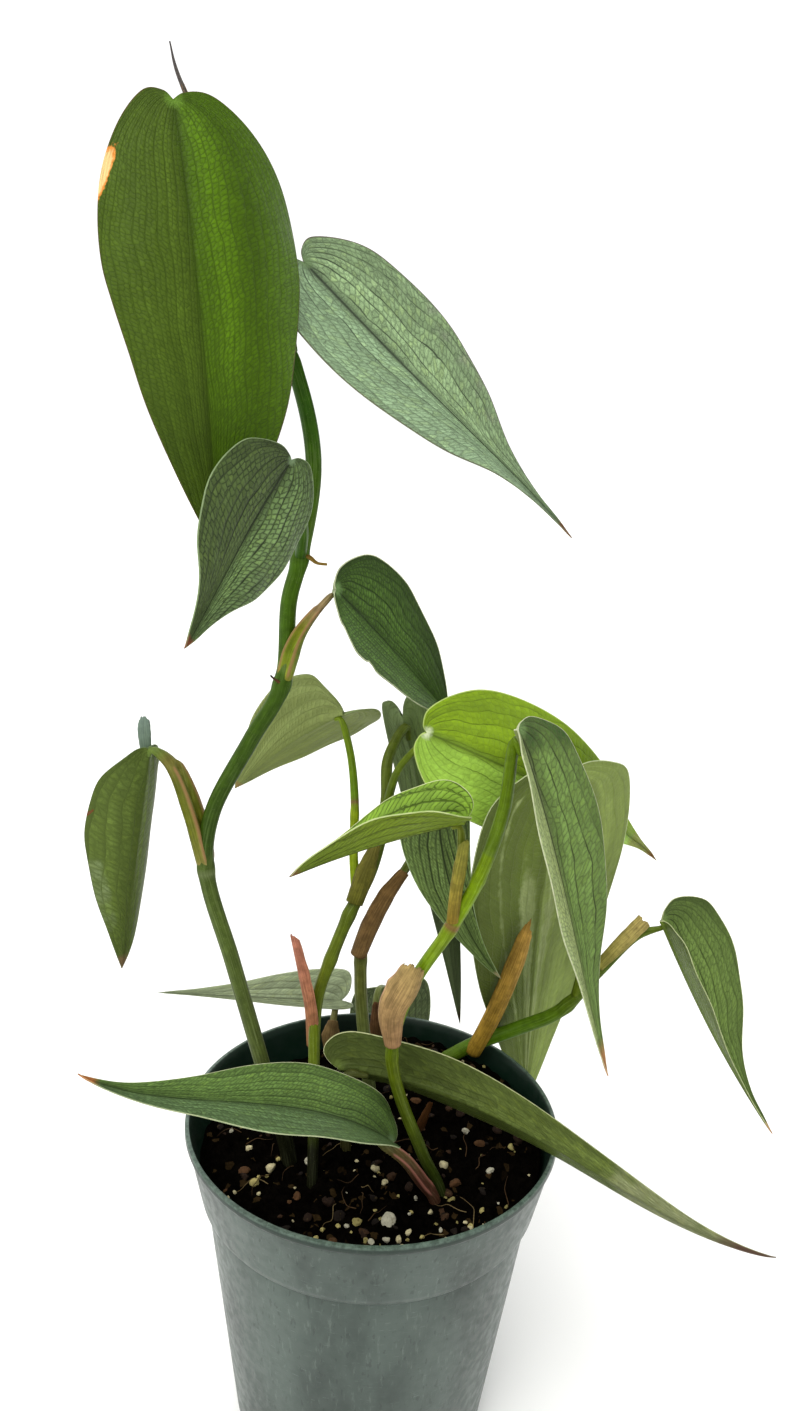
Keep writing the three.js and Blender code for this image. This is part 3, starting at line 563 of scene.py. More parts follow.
def make_leaf(name, materials, light_and_tone, shade_and_hue, spots, rim_scale):
    leaf = LEAVES[name]
    reach = np.linalg.norm(np.subtract(leaf["tip"], leaf["base"]))
    columns = 2 * int(np.clip(sum(leaf["widths"]) / STEP_ACROSS, 14, 46))
    rows = int(np.clip(reach / STEP_ALONG, 60, 150))
    t = np.linspace(-1, 1, columns + 1)
    t = np.sign(t) * (0.75 * np.abs(t) + 0.25 * (1 - (1 - np.abs(t)) ** 2))
    s = np.linspace(0, 1, rows + 1)
    middle, rib, share = blade_grid(leaf, t, s)
    size, down = np.abs(t)[None, :], s[:, None]
    normal = np.cross(np.gradient(middle, axis=1), np.gradient(middle, axis=0))
    normal[0], normal[-1] = normal[1], normal[-2]
    normal = unit(normal)

    # Vein coordinates, millimetres along and between the veins, and the distances to edge and notch.
    vein = leaf["veins"] * size - leaf["lean"] * share
    steps = np.linalg.norm(np.diff(middle, axis=0), axis=-1)
    run = np.vstack([np.zeros((1, columns + 1)), np.cumsum(steps, axis=0)])
    across = np.linalg.norm(np.gradient(middle, axis=1), axis=-1)
    pitch = across / np.maximum(np.abs(np.gradient(size[0]))[None, :] * leaf["veins"], 1e-6)
    pitch[:, columns // 2] = pitch[:, columns // 2 + 1]
    edge = np.minimum(*(np.linalg.norm(middle - middle[:, [i]], axis=-1) for i in (0, -1)))
    edge[0] = edge[-1] = 0.6
    rim = edge * np.where(t < 0, *rim_scale)[None, :]
    notch = np.linalg.norm(middle - middle[0, columns // 2], axis=-1)
    blemish = np.zeros_like(rib)
    for half, place, wide, deep in spots:
        blemish += np.exp(-((down - place) / wide) ** 2 - (edge / deep) ** 2) * (np.sign(t)[None, :] == half)

    # Thickness, veins pressed in above and standing out below, and a rib under the middle.
    dent = VEIN_DEPTH * hill(np.abs(vein - np.round(vein)) * pitch, 0, VEIN_REACH) * smoothstep(edge, 0, 2)
    half = HALF_BLADE * (1 - 0.55 * size ** 6) * smoothstep(1 - down, -0.02, 0.02).clip(0.4, 1)
    length_share = share.clip(0, 1)
    keel = RIB_DEPTH * np.exp(-3.0 * length_share) * hill(rib, 0, RIB_REACH - 0.7 * length_share)
    points, faces, kinds = sheet(middle + normal * (half - dent)[..., None],
                                 middle - normal * (half + dent * 0.6 + keel)[..., None])
    add_piece(name + "_blade", points, faces, materials, (name,), kinds, {
        "leaf_a": twice(vein, run, pitch), "leaf_b": twice(rib, rim, share),
        "leaf_c": twice(notch, blemish, light_and_tone(t[None, :], share)),
        "leaf_d": twice(shade_and_hue(t[None, :], share), 0 * share, 0)})


def palette(cells, tip, sinus, blemish, dark, vein):
    """Colours of one face, each given as 0-255 screen values. cells is one colour, or one for each half."""
    left, right = (np.array(linear(*c)) for c in np.broadcast_to(cells, (2, 3)))
    both = (left + right) / 2
    colors = {"Cell": left, "Cell Right": right, "Dark": both * dark, "Vein": both * vein,
              "Tip": linear(*tip), "Sinus": linear(*sinus), "Blemish": linear(*blemish)}
    return {key: tuple(float(v) for v in value) for key, value in colors.items()}


def dress(name, top, below, margin, tip=(150, 120, 80), sinus=None, blemish=(216, 176, 110), dark=0.5,
          vein=0.22, below_dark=0.66, below_vein=0.5, upper=(), under=(), gloss=0.1, shade_and_hue_color=(110, 100, 70),
          shade_and_hue_above=None, light_and_tone=lambda t, s: 1 + 0 * t * s, shade_and_hue=lambda t, s: 0 * t * s, spots=(),
          rim_scale=(1, 1)):
    """A leaf and its three materials: upper face, underside and margin.

    t runs across the blade from -1 to 1, and s along it from 0 to 1. tone brightens and darkens the
    colour: partly the leaf's own lighter and darker parts, partly painted light and shade, with bright
    bands where light and sheen fall and darker parts where shade falls, as near the base. cast turns the
    colour towards a second colour: painted shade on some leaves, and a real change of colour, such as a
    browner edge or a paler tail, on others. A spot is its half, its place, its width and its reach in mm.
    """
    materials = []
    for face, cells, own, shades, shade_and_hue_face, specular, relief in (
            ("_upper", top, upper, (dark, vein), shade_and_hue_above or shade_and_hue_color, gloss, 1.0),
            ("_under", below, under, (below_dark, below_vein), shade_and_hue_color, 0.08, -1.0)):
        notch = sinus if sinus and relief > 0 else np.broadcast_to(cells, (2, 3))[0]
        colors = palette(cells, tip, notch, blemish, *shades)
        colors["Margin"], colors["Cast"] = linear(*margin), linear(*shade_and_hue_face)
        amounts = {key: pair[relief < 0] for key, pair in LEAF_AMOUNTS.items()}
        materials.append(leaf_material(name + face, colors, {**amounts, **dict(own)}, specular, relief))
        if relief > 0:
            cell = colors["Cell"]
    edge = Material(name + "_margin", 0.5, 0.2)
    color = edge.mix(edge.noise(edge.place_mm(), 0.6, 3), linear(*margin), cell)
    color = edge.mix(edge.step(edge.attribute("leaf_b")[2], 0.93, 0.99), color, linear(*tip))
    materials.append(edge.cover(color))
    make_leaf(name, materials, light_and_tone, shade_and_hue, spots, rim_scale)


OLIVE = ((128, 140, 84), (124, 136, 80))

# Each leaf's tone paints light and shade in soft bands, along with its own lighter and darker parts.
dress("leaf_top", ((73, 104, 12), (72, 93, 25)), OLIVE, (84, 70, 30), (90, 84, 40),
      (104, 140, 48), (244, 208, 140), dark=0.6, vein=0.34, gloss=0.08, shade_and_hue_color=(70, 66, 24),
      spots=[(1, 0.345, 0.04, 3.6)],
      # Painted light: bright bands by the midrib and on the lobes; painted shade: darker bands and a darker tip end.
      light_and_tone=lambda t, s: 1 + 0.38 * hill(t, -0.12 - 0.42 * s, 0.11) * (1 - smoothstep(s, 0.5, 0.8)) +
          0.25 * hill(t, -0.95, 0.2) * hill(s, 0.45, 0.25) +
          0.2 * hill(t, 0.15 + 0.25 * s, 0.05) * hill(s, 0.15, 0.2) -
          0.2 * hill(t, -0.38 - 0.4 * s, 0.1) * (1 - smoothstep(s, 0.4, 0.7)) +
          0.2 * hill(t, 0.2 + 0.3 * s, 0.09) - 0.12 * hill(t, 0.08, 0.07) - 0.22 * smoothstep(s, 0.45, 0.85) +
          0.12 * hill(t, 0.75, 0.1) + 0.12 * smoothstep(s, 0.3, 0.0) * hill(t, 0.6, 0.2),
      shade_and_hue=lambda t, s: 0.5 * hill(t, 1.0, 0.12) + 0.3 * hill(t, 0.5, 0.12) - 0.3,
      upper=dict(lines=0.5, cells=0.45, net=0.2, panels=0.3, mottle=0.22, pleats=0.1, groove=0.85,
          cell_gap=1.15, line_width=0.24, rib_width=0.4))
dress("leaf_upper_right", ((140, 166, 120), (138, 166, 126)), OLIVE, (88, 72, 64),
      (130, 96, 66), (110, 136, 90), dark=0.42, vein=0.12, gloss=0.15, shade_and_hue_color=(128, 134, 116),
      light_and_tone=lambda t, s: 1 + 0.2 * hill(t, -0.3 - 0.3 * s, 0.07) + 0.2 * hill(t, 0.26, 0.06) +
          0.12 * hill(t, -0.1, 0.05) - 0.2 * smoothstep(s, 0.62, 0.95) - 0.14 * hill(t, -0.8, 0.12) -
          0.12 * hill(t, -0.45, 0.06),
      shade_and_hue=lambda t, s: 0.62 * smoothstep(-t, 0.55, 1.0) * hill(s, 0.42, 0.3) - 0.15,
      upper=dict(lines=0.95, cells=0.5, net=0.4, panels=0.3, mottle=0.3, groove=1, cell_gap=1.7, loose=0.7,
          line_width=0.28, tip_start=0.92, rib_width=0.6))
dress("leaf_upper_small", ((106, 132, 78), (80, 98, 52)), OLIVE, (132, 150, 108), (134, 80, 54),
      (120, 144, 104), dark=0.4, vein=0.12, gloss=0.12, shade_and_hue_color=(66, 78, 52),
      light_and_tone=lambda t, s: 1 + 0.2 * hill(t, -0.45, 0.2) - 0.2 * smoothstep(s, 0.25, 0.0) -
          0.12 * hill(t, 0.9, 0.2) - 0.15 * smoothstep(s, 0.6, 0.95),
      upper=dict(lines=0.95, cells=0.7, panels=0.45, groove=1, loose=0.5, tip_start=0.94, sinus_reach=1.6))
dress("leaf_wavy", ((70, 98, 38), (82, 114, 48)), OLIVE, (204, 210, 172), (86, 104, 56),
      (110, 142, 84), dark=0.42, vein=0.2, gloss=0.08, shade_and_hue_color=(50, 74, 30),
      light_and_tone=lambda t, s: 1 + 0.5 * hill(t, -0.42, 0.2) * hill(s, 0.35, 0.3) - 0.42 * smoothstep(-t, 0.7, 1.0) -
          0.3 * smoothstep(s, 0.12, -0.08) + 0.3 * hill(t, 0.35, 0.09) + 0.2 * hill(t, 0.75, 0.08) +
          0.2 * hill(t, -0.12, 0.05),
      upper=dict(net=0.2, panels=0.5, stripes=0.12, groove=0.9, cell_gap=1.1, loose=0.55))
dress("leaf_lime", ((138, 170, 32), (156, 196, 76)), (150, 176, 60), (186, 204, 122),
      (146, 108, 52), (232, 242, 200), dark=0.6, vein=0.26, shade_and_hue_color=(138, 146, 44),
      light_and_tone=lambda t, s: 1 - 0.2 * smoothstep(s, 0.25, 0.7) * (t < 0) - 0.12 * hill(t, -0.7, 0.2) +
          0.12 * hill(s, 0.15, 0.15) * (t > 0) + 0.1 * hill(t, -0.4, 0.06) + 0.1 * hill(t, -0.85, 0.05),
      shade_and_hue=lambda t, s: 1.5 * smoothstep(s, 0.7, 0.82) - 0.2,
      upper=dict(lines=0.6, halves=0.2, cells=0.2, net=0.08, panels=0.1, mottle=0.14, pleats=0.12, bands=0.25,
          stripes=0.2, groove=1, cell_gap=2, line_width=0.2, tip_start=0.86, sinus_reach=2.4))
dress("leaf_front", ((106, 133, 68), (166, 182, 120)), OLIVE, (222, 222, 190), (176, 130, 86),
      (110, 138, 84), dark=0.4, vein=0.12, shade_and_hue_color=(56, 82, 40), rim_scale=(2.4, 1.0),
      light_and_tone=lambda t, s: 1 - 0.2 * smoothstep(s, 0.14, 0.0) - 0.14 * hill(t, -0.14, 0.08) +
          0.12 * hill(t, -0.35, 0.1) - 0.15 * hill(t, -0.95, 0.12),
      # Here the second colour is painted shade on one half near the notch.
      shade_and_hue=lambda t, s: 1.1 * hill(s, 0.03, 0.1) * (t < 0) - 0.3,
      upper=dict(lines=0.95, cells=0.4, net=0.2, panels=0.35, mottle=0.25, groove=1, cell_gap=1.5, loose=0.7,
          line_width=0.28, margin_width=0.3, tip_start=0.89, rib_width=0.4))
dress("leaf_back_large", (84, 112, 48), ((98, 116, 42), (134, 152, 78)), (196, 206, 158),
      (150, 130, 80), below_dark=0.62, below_vein=0.5, shade_and_hue_color=(158, 172, 112), shade_and_hue_above=(88, 116, 52),
      light_and_tone=lambda t, s: 1 - 0.35 * hill(t, -1.0, 0.32) - 0.3 * hill(t, -0.06, 0.045) -
          0.16 * hill(t, -0.46, 0.06) + 0.08 * hill(t, 0.2, 0.1) - 0.14 * hill(t, 0.38, 0.06) +
          0.14 * smoothstep(t, 0.45, 0.8) - 0.12 * smoothstep(s, 0.3, 0.0) * (t < 0),
      shade_and_hue=lambda t, s: 1.5 * hill(t, -0.25, 0.12) * smoothstep(s, 0.1, 0.4) + 0.7 * hill(t, -0.62, 0.03) +
          1.1 * hill(t, 0.17, 0.09) - 0.05,
      upper=dict(halves=0.3, cell_rows=1),
      under=dict(lines=0.3, pleats=0.15, bands=0.5, stripes=0.4, margin_width=0.25))
dress("leaf_folded", (122, 156, 52), (118, 140, 44), (206, 214, 160), (110, 84, 50), dark=0.5,
      vein=0.16, below_vein=0.15, rim_scale=(1.0, 1.3),
      light_and_tone=lambda t, s: 1 - 0.25 * smoothstep(s, 0.4, 0.95),
      upper=dict(lines=0.9, cells=0.75, net=0.1, panels=0.3, mottle=0.25, cell_gap=1.7, cell_rows=1,
          loose=0.35, line_width=0.24, margin_width=0.28),
      under=dict(lines=0.8, cells=0.55, net=0.1, panels=0.25, bands=0.2, stripes=0.2, cell_gap=1.9, loose=0.4,
          line_width=0.32, margin_width=0.28))
dress("leaf_dark_inner", ((106, 130, 68), (112, 136, 74)), OLIVE, (160, 180, 134),
      (150, 140, 100), dark=0.34, vein=0.1,
      light_and_tone=lambda t, s: 1 - 0.25 * smoothstep(s, 0.35, 0.1) + 0.12 * smoothstep(s, 0.6, 0.9),
      upper=dict(lines=0.95, halves=0.1, net=0.3, panels=0.45, mottle=0.25, cell_gap=1.5, loose=0.5,
          line_width=0.34, margin_width=0.28))
dress("leaf_back_left", (84, 112, 50), ((152, 166, 100), (140, 154, 82)), (150, 160, 110),
      (150, 130, 80), below_dark=0.66, below_vein=0.55,
      upper=dict(halves=0.3, cell_rows=1),
      under=dict(lines=0.35, pleats=0.1, bands=0.6, stripes=0.45))
dress("leaf_narrow", (70, 92, 44), (122, 140, 94), (120, 134, 96), (60, 52, 34), below_dark=0.6,
      below_vein=0.4,
      # Painted shade: the hanging blade's lower half is much darker.
      light_and_tone=lambda t, s: 1 - 0.68 * smoothstep(s, 0.15, 0.5),
      upper=dict(halves=0.3, cell_rows=1),
      under=dict(lines=0.5))
dress("leaf_left", (104, 126, 84), (92, 110, 48), (70, 84, 44), (120, 100, 70),
      blemish=(112, 88, 64), below_dark=0.62, below_vein=0.5, shade_and_hue_color=(124, 140, 96),
      spots=[(-1, 0.455, 0.0048, 3.4)],
      light_and_tone=lambda t, s: 1 + 0.14 * hill(t, -0.3, 0.07) - 0.12 * hill(t, -0.5, 0.08) + 0.3 * hill(t, 0.9, 0.2),
      shade_and_hue=lambda t, s: 0.9 * smoothstep(-t, 0.62, 0.85) * hill(s, 0.62, 0.2) - 0.2,
      upper=dict(halves=0.3, cell_rows=1),
      under=dict(lines=0.35, cells=0.35, net=0.35, panels=0.4, mottle=0.16, pleats=0.55, bands=0.4,
          stripes=0.15, loose=0.9, margin_width=0.3))
dress("leaf_right", ((106, 130, 64), (100, 124, 58)), (112, 134, 56), (200, 204, 158),
      (170, 120, 70), (110, 134, 70), dark=0.45, vein=0.18, below_vein=0.4,
      light_and_tone=lambda t, s: 1 - 0.3 * smoothstep(s, 0.22, 0.0) - 0.12 * smoothstep(s, 0.6, 0.9) -
          0.3 * smoothstep(np.abs(t), 0.72, 1.0),
      upper=dict(cells=0.5, panels=0.3, mottle=0.15, groove=0.8, cell_gap=1.9, line_width=0.22,
          margin_width=0.25),
      under=dict(lines=0.5, bands=0.5, stripes=0.45, margin_width=0.2))
dress("leaf_low_left", ((98, 124, 80), (104, 134, 66)), (130, 142, 84), (196, 202, 160),
      (190, 120, 66), (100, 122, 84), dark=0.42, vein=0.16,
      light_and_tone=lambda t, s: 1 - 0.2 * hill(t, -0.15, 0.13) + 0.12 * hill(t, -0.6, 0.15) -
          0.12 * hill(t, 0.2, 0.08) + 0.1 * hill(t, 0.55, 0.2) - 0.4 * smoothstep(s, 0.25, 0.0) -
          0.1 * smoothstep(s, 0.7, 1.0),
      upper=dict(lines=0.85, halves=0.2, cells=0.5, net=0.35, groove=0.8, cell_gap=1.3, line_width=0.26,
          margin_width=0.3))
dress("leaf_low_right", (88, 114, 60), ((88, 104, 46), (90, 104, 48)), (196, 198, 150),
      (96, 76, 62), below_dark=0.5, below_vein=0.35, shade_and_hue_color=(142, 148, 108),
      # Painted shade: darker near the base, by the pot.
      light_and_tone=lambda t, s: 1 - 0.4 * smoothstep(s, 0.4, 0.12) + 0.2 * smoothstep(s, 0.5, 0.75),
      shade_and_hue=lambda t, s: 1.1 * smoothstep(s, 0.5, 0.75) - 0.2,
      upper=dict(halves=0.3, cell_rows=1),
      under=dict(lines=0.45, cells=0.3, net=0.3, panels=0.25, mottle=0.45, bands=0.35, stripes=0.15,
          cell_gap=2.2, loose=0.8, margin_width=0.25, tip_start=0.84, variation=0.8))
dress("leaf_behind_left", (140, 152, 118), (140, 150, 114), (166, 174, 146), (150, 158, 132),
      upper=dict(lines=0.5, halves=0.3, cells=0.2, net=0.1, panels=0.2, cell_rows=1))
dress("leaf_behind_pot", (112, 128, 84), OLIVE, (140, 156, 110), (120, 110, 70),
      upper=dict(halves=0.3, cell_rows=1))

# ---------------------------------------------------------------- stems

# The CAD's measures of the soil, and a bank of it at the right back. ROOTED is how deep a stalk stands in it.
SOIL = dict(level=84.0, mound_rise=8.0, mound_at=(20.0, 30.0), mound_reach=24.0, edge_dip=1.2, lump=0.7,
            bank=6.5)
ROOTED = 10


def soil_height(x, y):
    rise = SOIL["mound_rise"] * hill(np.hypot(x - SOIL["mound_at"][0], y - SOIL["mound_at"][1]), 0,
                                     SOIL["mound_reach"])
    bank = SOIL["bank"] * smoothstep(0.8 * x + 0.6 * y, 10, 36)
    rise = (rise ** 8 + bank ** 8) ** 0.125  # a soft maximum of the two
    bumps = np.sin(x * 0.55 + y * 0.21) * np.cos(y * 0.47 - x * 0.13) + 0.5 * np.sin(x * 1.1 - y * 0.9)
    dip = SOIL["edge_dip"] * smoothstep(np.hypot(x, y), 40, 50)
    return SOIL["level"] + rise - dip + SOIL["lump"] * bumps


def smooth_line(points, fine=40):
    """A centripetal Catmull-Rom curve through the points, as a dense list."""
    p = np.asarray(points, float)
    p = np.vstack([2 * p[0] - p[1], p, 2 * p[-1] - p[-2]])
    found = []
    u = np.linspace(0, 1, fine, endpoint=False)[:, None]
    for a, b, c, d in zip(p, p[1:], p[2:], p[3:]):
        d0, d1, d2 = (max(np.linalg.norm(gap) ** 0.5, 1e-4) for gap in (b - a, c - b, d - c))
        m1 = ((b - a) / d0 - (c - a) / (d0 + d1) + (c - b) / d1) * d1
        m2 = ((c - b) / d1 - (d - b) / (d1 + d2) + (d - c) / d2) * d1
        found.append(b + m1 * u + (3 * (c - b) - 2 * m1 - m2) * u ** 2 + (2 * (b - c) + m1 + m2) * u ** 3)
    return np.vstack(found + [p[-2:-1]])


def even_line(points, step):
    """The curve at even steps, and how far along it each of its points lies."""
    dense = smooth_line(points)
    gone = np.concatenate([[0], np.cumsum(np.linalg.norm(np.diff(dense, axis=0), axis=1))])
    at = np.linspace(0, gone[-1], max(int(round(gone[-1] / step)), 3) + 1)
    return lookup(at, gone, dense), at


def frames(line):
    """Directions along a line, and a side that turns as little as it can."""
    ahead = unit(np.gradient(line, axis=0))
    side = np.zeros_like(line)
    side[0] = unit(np.cross(ahead[0], [0, 1, 0.1]))
    for k in range(1, len(line)):
        side[k] = unit(side[k - 1] - ahead[k] * (side[k - 1] @ ahead[k]))
    return ahead, side, np.cross(ahead, side)


def spread(values, share):
    """A list of values that runs evenly along a share from 0 to 1, as in the CAD."""
    values = np.asarray(values, float)
    at = share * (len(values) - 1)
    low = np.minimum(np.floor(at).astype(int), len(values) - 2)
    f = at - low
    return values[low] * (1 - f) + values[low + 1] * f


def tube(points, radii, stops, sides=24, step=0.9, joints=(), wing=None, ridges=0.02, seed=0, end=0.4,
         taper=0.35):
    """A stalk: points, faces, and its colours and lengthwise coordinates for every point.

    stops are colours at shares of the length. A joint is a place, how much it swells and its reach.
    wing is a grooved stretch: its start, its stop, the way it faces and how high its lips stand.
    """
    line, gone = even_line(points, step)
    share = gone / gone[-1]
    ahead, side, other = frames(line)
    radius = spread(radii, share) * (1 - taper * smoothstep(gone, gone[-1] - 6, gone[-1]))
    for x, y, z, swell, reach in joints:
        radius = radius * (1 + swell * hill(np.linalg.norm(line - (x, y, z), axis=1), 0, reach))
    angle = np.linspace(0, 2 * np.pi, sides, endpoint=False)[None, :]
    size = radius[:, None] * (1 + ridges * np.sin(5 * angle + seed)
                              + 0.6 * ridges * np.sin(9 * angle + 0.15 * gone[:, None]))
    lip = np.zeros_like(size)
    if wing:
        start, stop, toward, lift = wing
        facing = np.arctan2((other * toward).sum(1), (side * toward).sum(1))[:, None]
        off = (angle - facing + np.pi) % (2 * np.pi) - np.pi
        live = smoothstep(share, start - 0.03, start + 0.08) * (1 - smoothstep(share, stop - 0.03, stop))
        lip = live[:, None] * hill(np.abs(off), 0.75, 0.28)
        size = size * (1 + lift * lip - 0.45 * (live[:, None] * hill(off, 0, 0.4)))
    turn = angle[..., None]
    body = line[:, None] + size[..., None] * (np.cos(turn) * side[:, None] + np.sin(turn) * other[:, None])
    tip = line[-1] + ahead[-1] * radius[-1] * end
    tint = lookup(share, [at for at, _ in stops], np.array([linear(*color) for _, color in stops]))
    tint = np.concatenate([tint, np.ones((len(line), 1))], 1)[:, None].repeat(sides, 1)
    coords = np.stack(np.broadcast_arrays(angle * radius[:, None], gone[:, None], lip), -1)

    def closed(grid, first, last):
        return np.vstack([grid.reshape(-1, grid.shape[-1]), first, last])

    return (closed(body, line[0], tip), tube_faces(len(line), sides), closed(tint, tint[0, 0], tint[-1, 0]),
            closed(coords, coords[0, 0], coords[-1, 0]))


def gather(name, material, tubes, replaced):
    """Several tubes as one piece."""
    points, faces, colors, coords = zip(*tubes)
    starts = np.cumsum([0] + [len(p) for p in points])
    joined = [[i + start for i in face] for start, group in zip(starts, faces) for face in group]
    add_piece(name, np.vstack(points), joined, [material], replaced,
              attributes={"tint": np.vstack(colors), "stalk": np.vstack(coords)})


def stalk_material(name, roughness=0.42, streak=0.1, freckle=0.16, lip=(150, 112, 78)):
    skin = Material(name, roughness, 0.1)
    place, pale = skin.place_mm(), linear(190, 200, 150)
    around, along, wing = skin.attribute("stalk")
    lines = skin.noise(skin.join(around * 2.2, along * 0.06), 1.0, 4, 0.65)
    color = skin.scaled(skin.tint(), skin.step(skin.noise(place, 0.5, 3), 0.25, 0.75, 1 - freckle, 1 + freckle))
    color = skin.scaled(color, skin.step(lines, 0.32, 0.68, 0.78, 1.16))
    color = skin.mix(skin.step(lines, 0.5, 0.75) * streak, color, pale)
    color = skin.mix(skin.step(wing, 0.35, 0.9) * 0.75, color, linear(*lip))
    color = skin.mix(skin.step(skin.cells(place, 1.9)["Distance"], 0.18, 0.1) * 0.12, color, pale)
    return skin.cover(color, lines * 0.12 + skin.noise(place, 2.0, 3) * 0.05, 0.6)


STALK_SKIN = stalk_material("stalk_skin")
STALK_BROWN = stalk_material("stalk_brown", lip=(170, 110, 96))


def stem(name, tubes):
    gather(name + "_skin", STALK_SKIN, tubes, (name,))


def leaf_joint(name, deep=1.25, shares=(0.03, 0.07)):
    """Where a stalk meets its blade: just under the notch, then along under the rib."""
    place = lay_out(LEAVES[name])[1]
    return [place(0, shares[0], -1.6).tolist(), place(0, shares[1], -deep).tolist()]


def ground(x, y):
    """A stalk's first points: down in the soil, as in the CAD, and at its surface."""
    level = float(soil_height(x, y))
    return [[x, y, level - ROOTED], [x, y, level]]


def banded(stops, *rings):
    """Colour stops with narrow rings set in: each is its place, its colour and half its width, in shares."""
    shares, shades = [stop[0] for stop in stops], np.array([stop[1] for stop in stops], float)
    out = [stop for stop in stops if all(abs(stop[0] - at) > wide * 1.6 for at, _, wide in rings)]
    for place, color, wide in rings:
        out += [(at, tuple(lookup(at, shares, shades))) for at in (place - wide * 1.6, place + wide * 1.6)]
        out += [(place - wide * 0.5, color), (place + wide * 0.5, color)]
    return sorted(out)


TALL = [[-31.5, -5, 114.5], [-40, -3, 145], [-47, 0, 170], [-45.5, 0, 185.5], [-36, 0, 205],
        [-28.5, 0, 219.5], [-27, 3, 240.5], [-24.5, 5, 250.5], [-21.5, 8, 273.5], [-26, 8, 294],
        [-36, 8, 314], [-48, 8, 338]]

# The first stops, near black, are painted shade on the stalk's foot, under the leaves down to the soil.
stem("stem_tall", [
    tube(ground(-23.5, -5) + TALL + leaf_joint("leaf_top"), [2.2, 2.1, 2.1, 2.1, 2, 1.9, 1.4],
         banded([(0, (16, 16, 8)), (0.1, (26, 28, 12)), (0.16, (70, 82, 34)), (0.28, (73, 89, 35)),
         (0.345, (67, 83, 31)), (0.36, (48, 70, 12)), (0.5, (53, 79, 11)), (0.62, (67, 100, 15)),
         (0.66, (61, 87, 12)), (0.75, (44, 79, 8)), (0.84, (46, 79, 8)), (1, (71, 98, 22))],
         (0.335, (92, 104, 62), 0.003), (0.536, (84, 106, 44), 0.004)), joints=[(-47, 0, 170, 0.16, 2.2),
         (-28.5, 0, 219.5, 0.2, 2.4), (-24.5, 5, 250.5, 0.2, 2.2), (-26, 8, 298, 0.15, 2.2)], seed=1),
    tube([[-47, 0, 170], [-50.5, 2, 184], [-56.2, 4, 197.5]] + leaf_joint("leaf_left", 0.9, (0.0, 0.03)),
         [2.1, 2.4, 2.3, 1.9, 1.0], [(0, (150, 128, 82)), (0.08, (112, 112, 44)), (0.3, (93, 98, 19)),
         (0.6, (92, 98, 26)), (0.82, (106, 100, 46)), (0.9, (96, 114, 44)), (1, (98, 120, 56))],
         wing=(0.02, 0.78, (0.75, -0.55, 0.3), 0.42), seed=2),
    tube([[-28, 0, 220.5], [-24.5, -1.5, 232.5], [-18.5, -2, 241]] + leaf_joint("leaf_wavy"),
         [1.9, 2.0, 1.4, 0.9, 0.8], [(0, (130, 127, 41)), (0.12, (122, 134, 34)), (0.3, (99, 117, 11)),
         (0.5, (108, 110, 22)), (0.7, (138, 116, 80)), (1, (124, 118, 76))],
         wing=(0.02, 0.72, (-0.5, -0.8, 0.3), 0.4), seed=3),
    tube([[-24.5, 5, 250.5], [-24.5, -3, 258.5], [-26.5, -11, 268]] + leaf_joint("leaf_upper_small"),
         [1.5, 1.3, 1, 0.8], [(0, (48, 81, 11)), (1, (61, 87, 22))], seed=4),
    tube([[-28, 8, 300], [-28.5, 17, 312.5]] + leaf_joint("leaf_upper_right"), [1.8, 1.4, 1.2, 1],
         [(0, (51, 85, 11)), (1, (71, 98, 30))], seed=5),
    tube([[-25, 5, 251], [-22.6, 3.4, 251.4], [-20.4, 2.6, 250], [-18, 2, 249.8]],
         [0.75, 0.5, 0.62, 0.5, 0.55], [(0, (96, 70, 30)), (0.4, (128, 100, 38)), (1, (134, 108, 46))],
         seed=6, sides=12, step=0.4, ridges=0.06),
    tube([[-28.5, -1.5, 220], [-30.5, -2.5, 221.5], [-31.5, -3, 222.5]], [0.6, 0.45, 0.35],
         [(0, (110, 70, 40)), (1, (28, 18, 14))], seed=7, sides=10, step=0.4),
])
# The first stops, near black, are painted shade on the stalk's foot, under the leaves down to the soil.
stem("stem_left", [
    tube(ground(-18, -14.5) + [[-17.5, -8, 99], [-16.5, 4, 128.5], [-13, 6, 139.5], [-8, 9, 151.5],
         [-1.5, 13, 164], [2.5, 18, 181], [3, 22, 193]] + leaf_joint("leaf_narrow"),
         [1.5, 1.5, 1.7, 1.8, 1.8, 1.3], [(0, (16, 16, 8)), (0.13, (24, 26, 10)), (0.22, (84, 100, 18)),
         (0.45, (89, 102, 18)), (0.6, (73, 87, 15)), (1, (85, 98, 30))], joints=[(-13, 6, 139.5, 0.12, 2),
         (-8, 9, 151.5, 0.15, 2)], seed=11),
    tube([[-6, 10, 156], [-6.5, 16, 168], [-6, 22, 181], [-7, 29, 193]] + leaf_joint("leaf_back_left"),
         [1.3, 1.2, 1], banded([(0, (114, 134, 9)), (0.45, (118, 136, 11)), (0.52, (85, 115, 9)),
         (1, (106, 127, 22))], (0.5, (110, 84, 50), 0.012)), seed=12, joints=[(-6.2, 20, 177, 0.12, 1.5)]),
    tube([[2.5, 18, 181], [5, 11.5, 194.5]] + leaf_joint("leaf_lime"), [1.3, 1, 0.9],
         [(0, (75, 93, 15)), (1, (97, 115, 19))], seed=13),
])
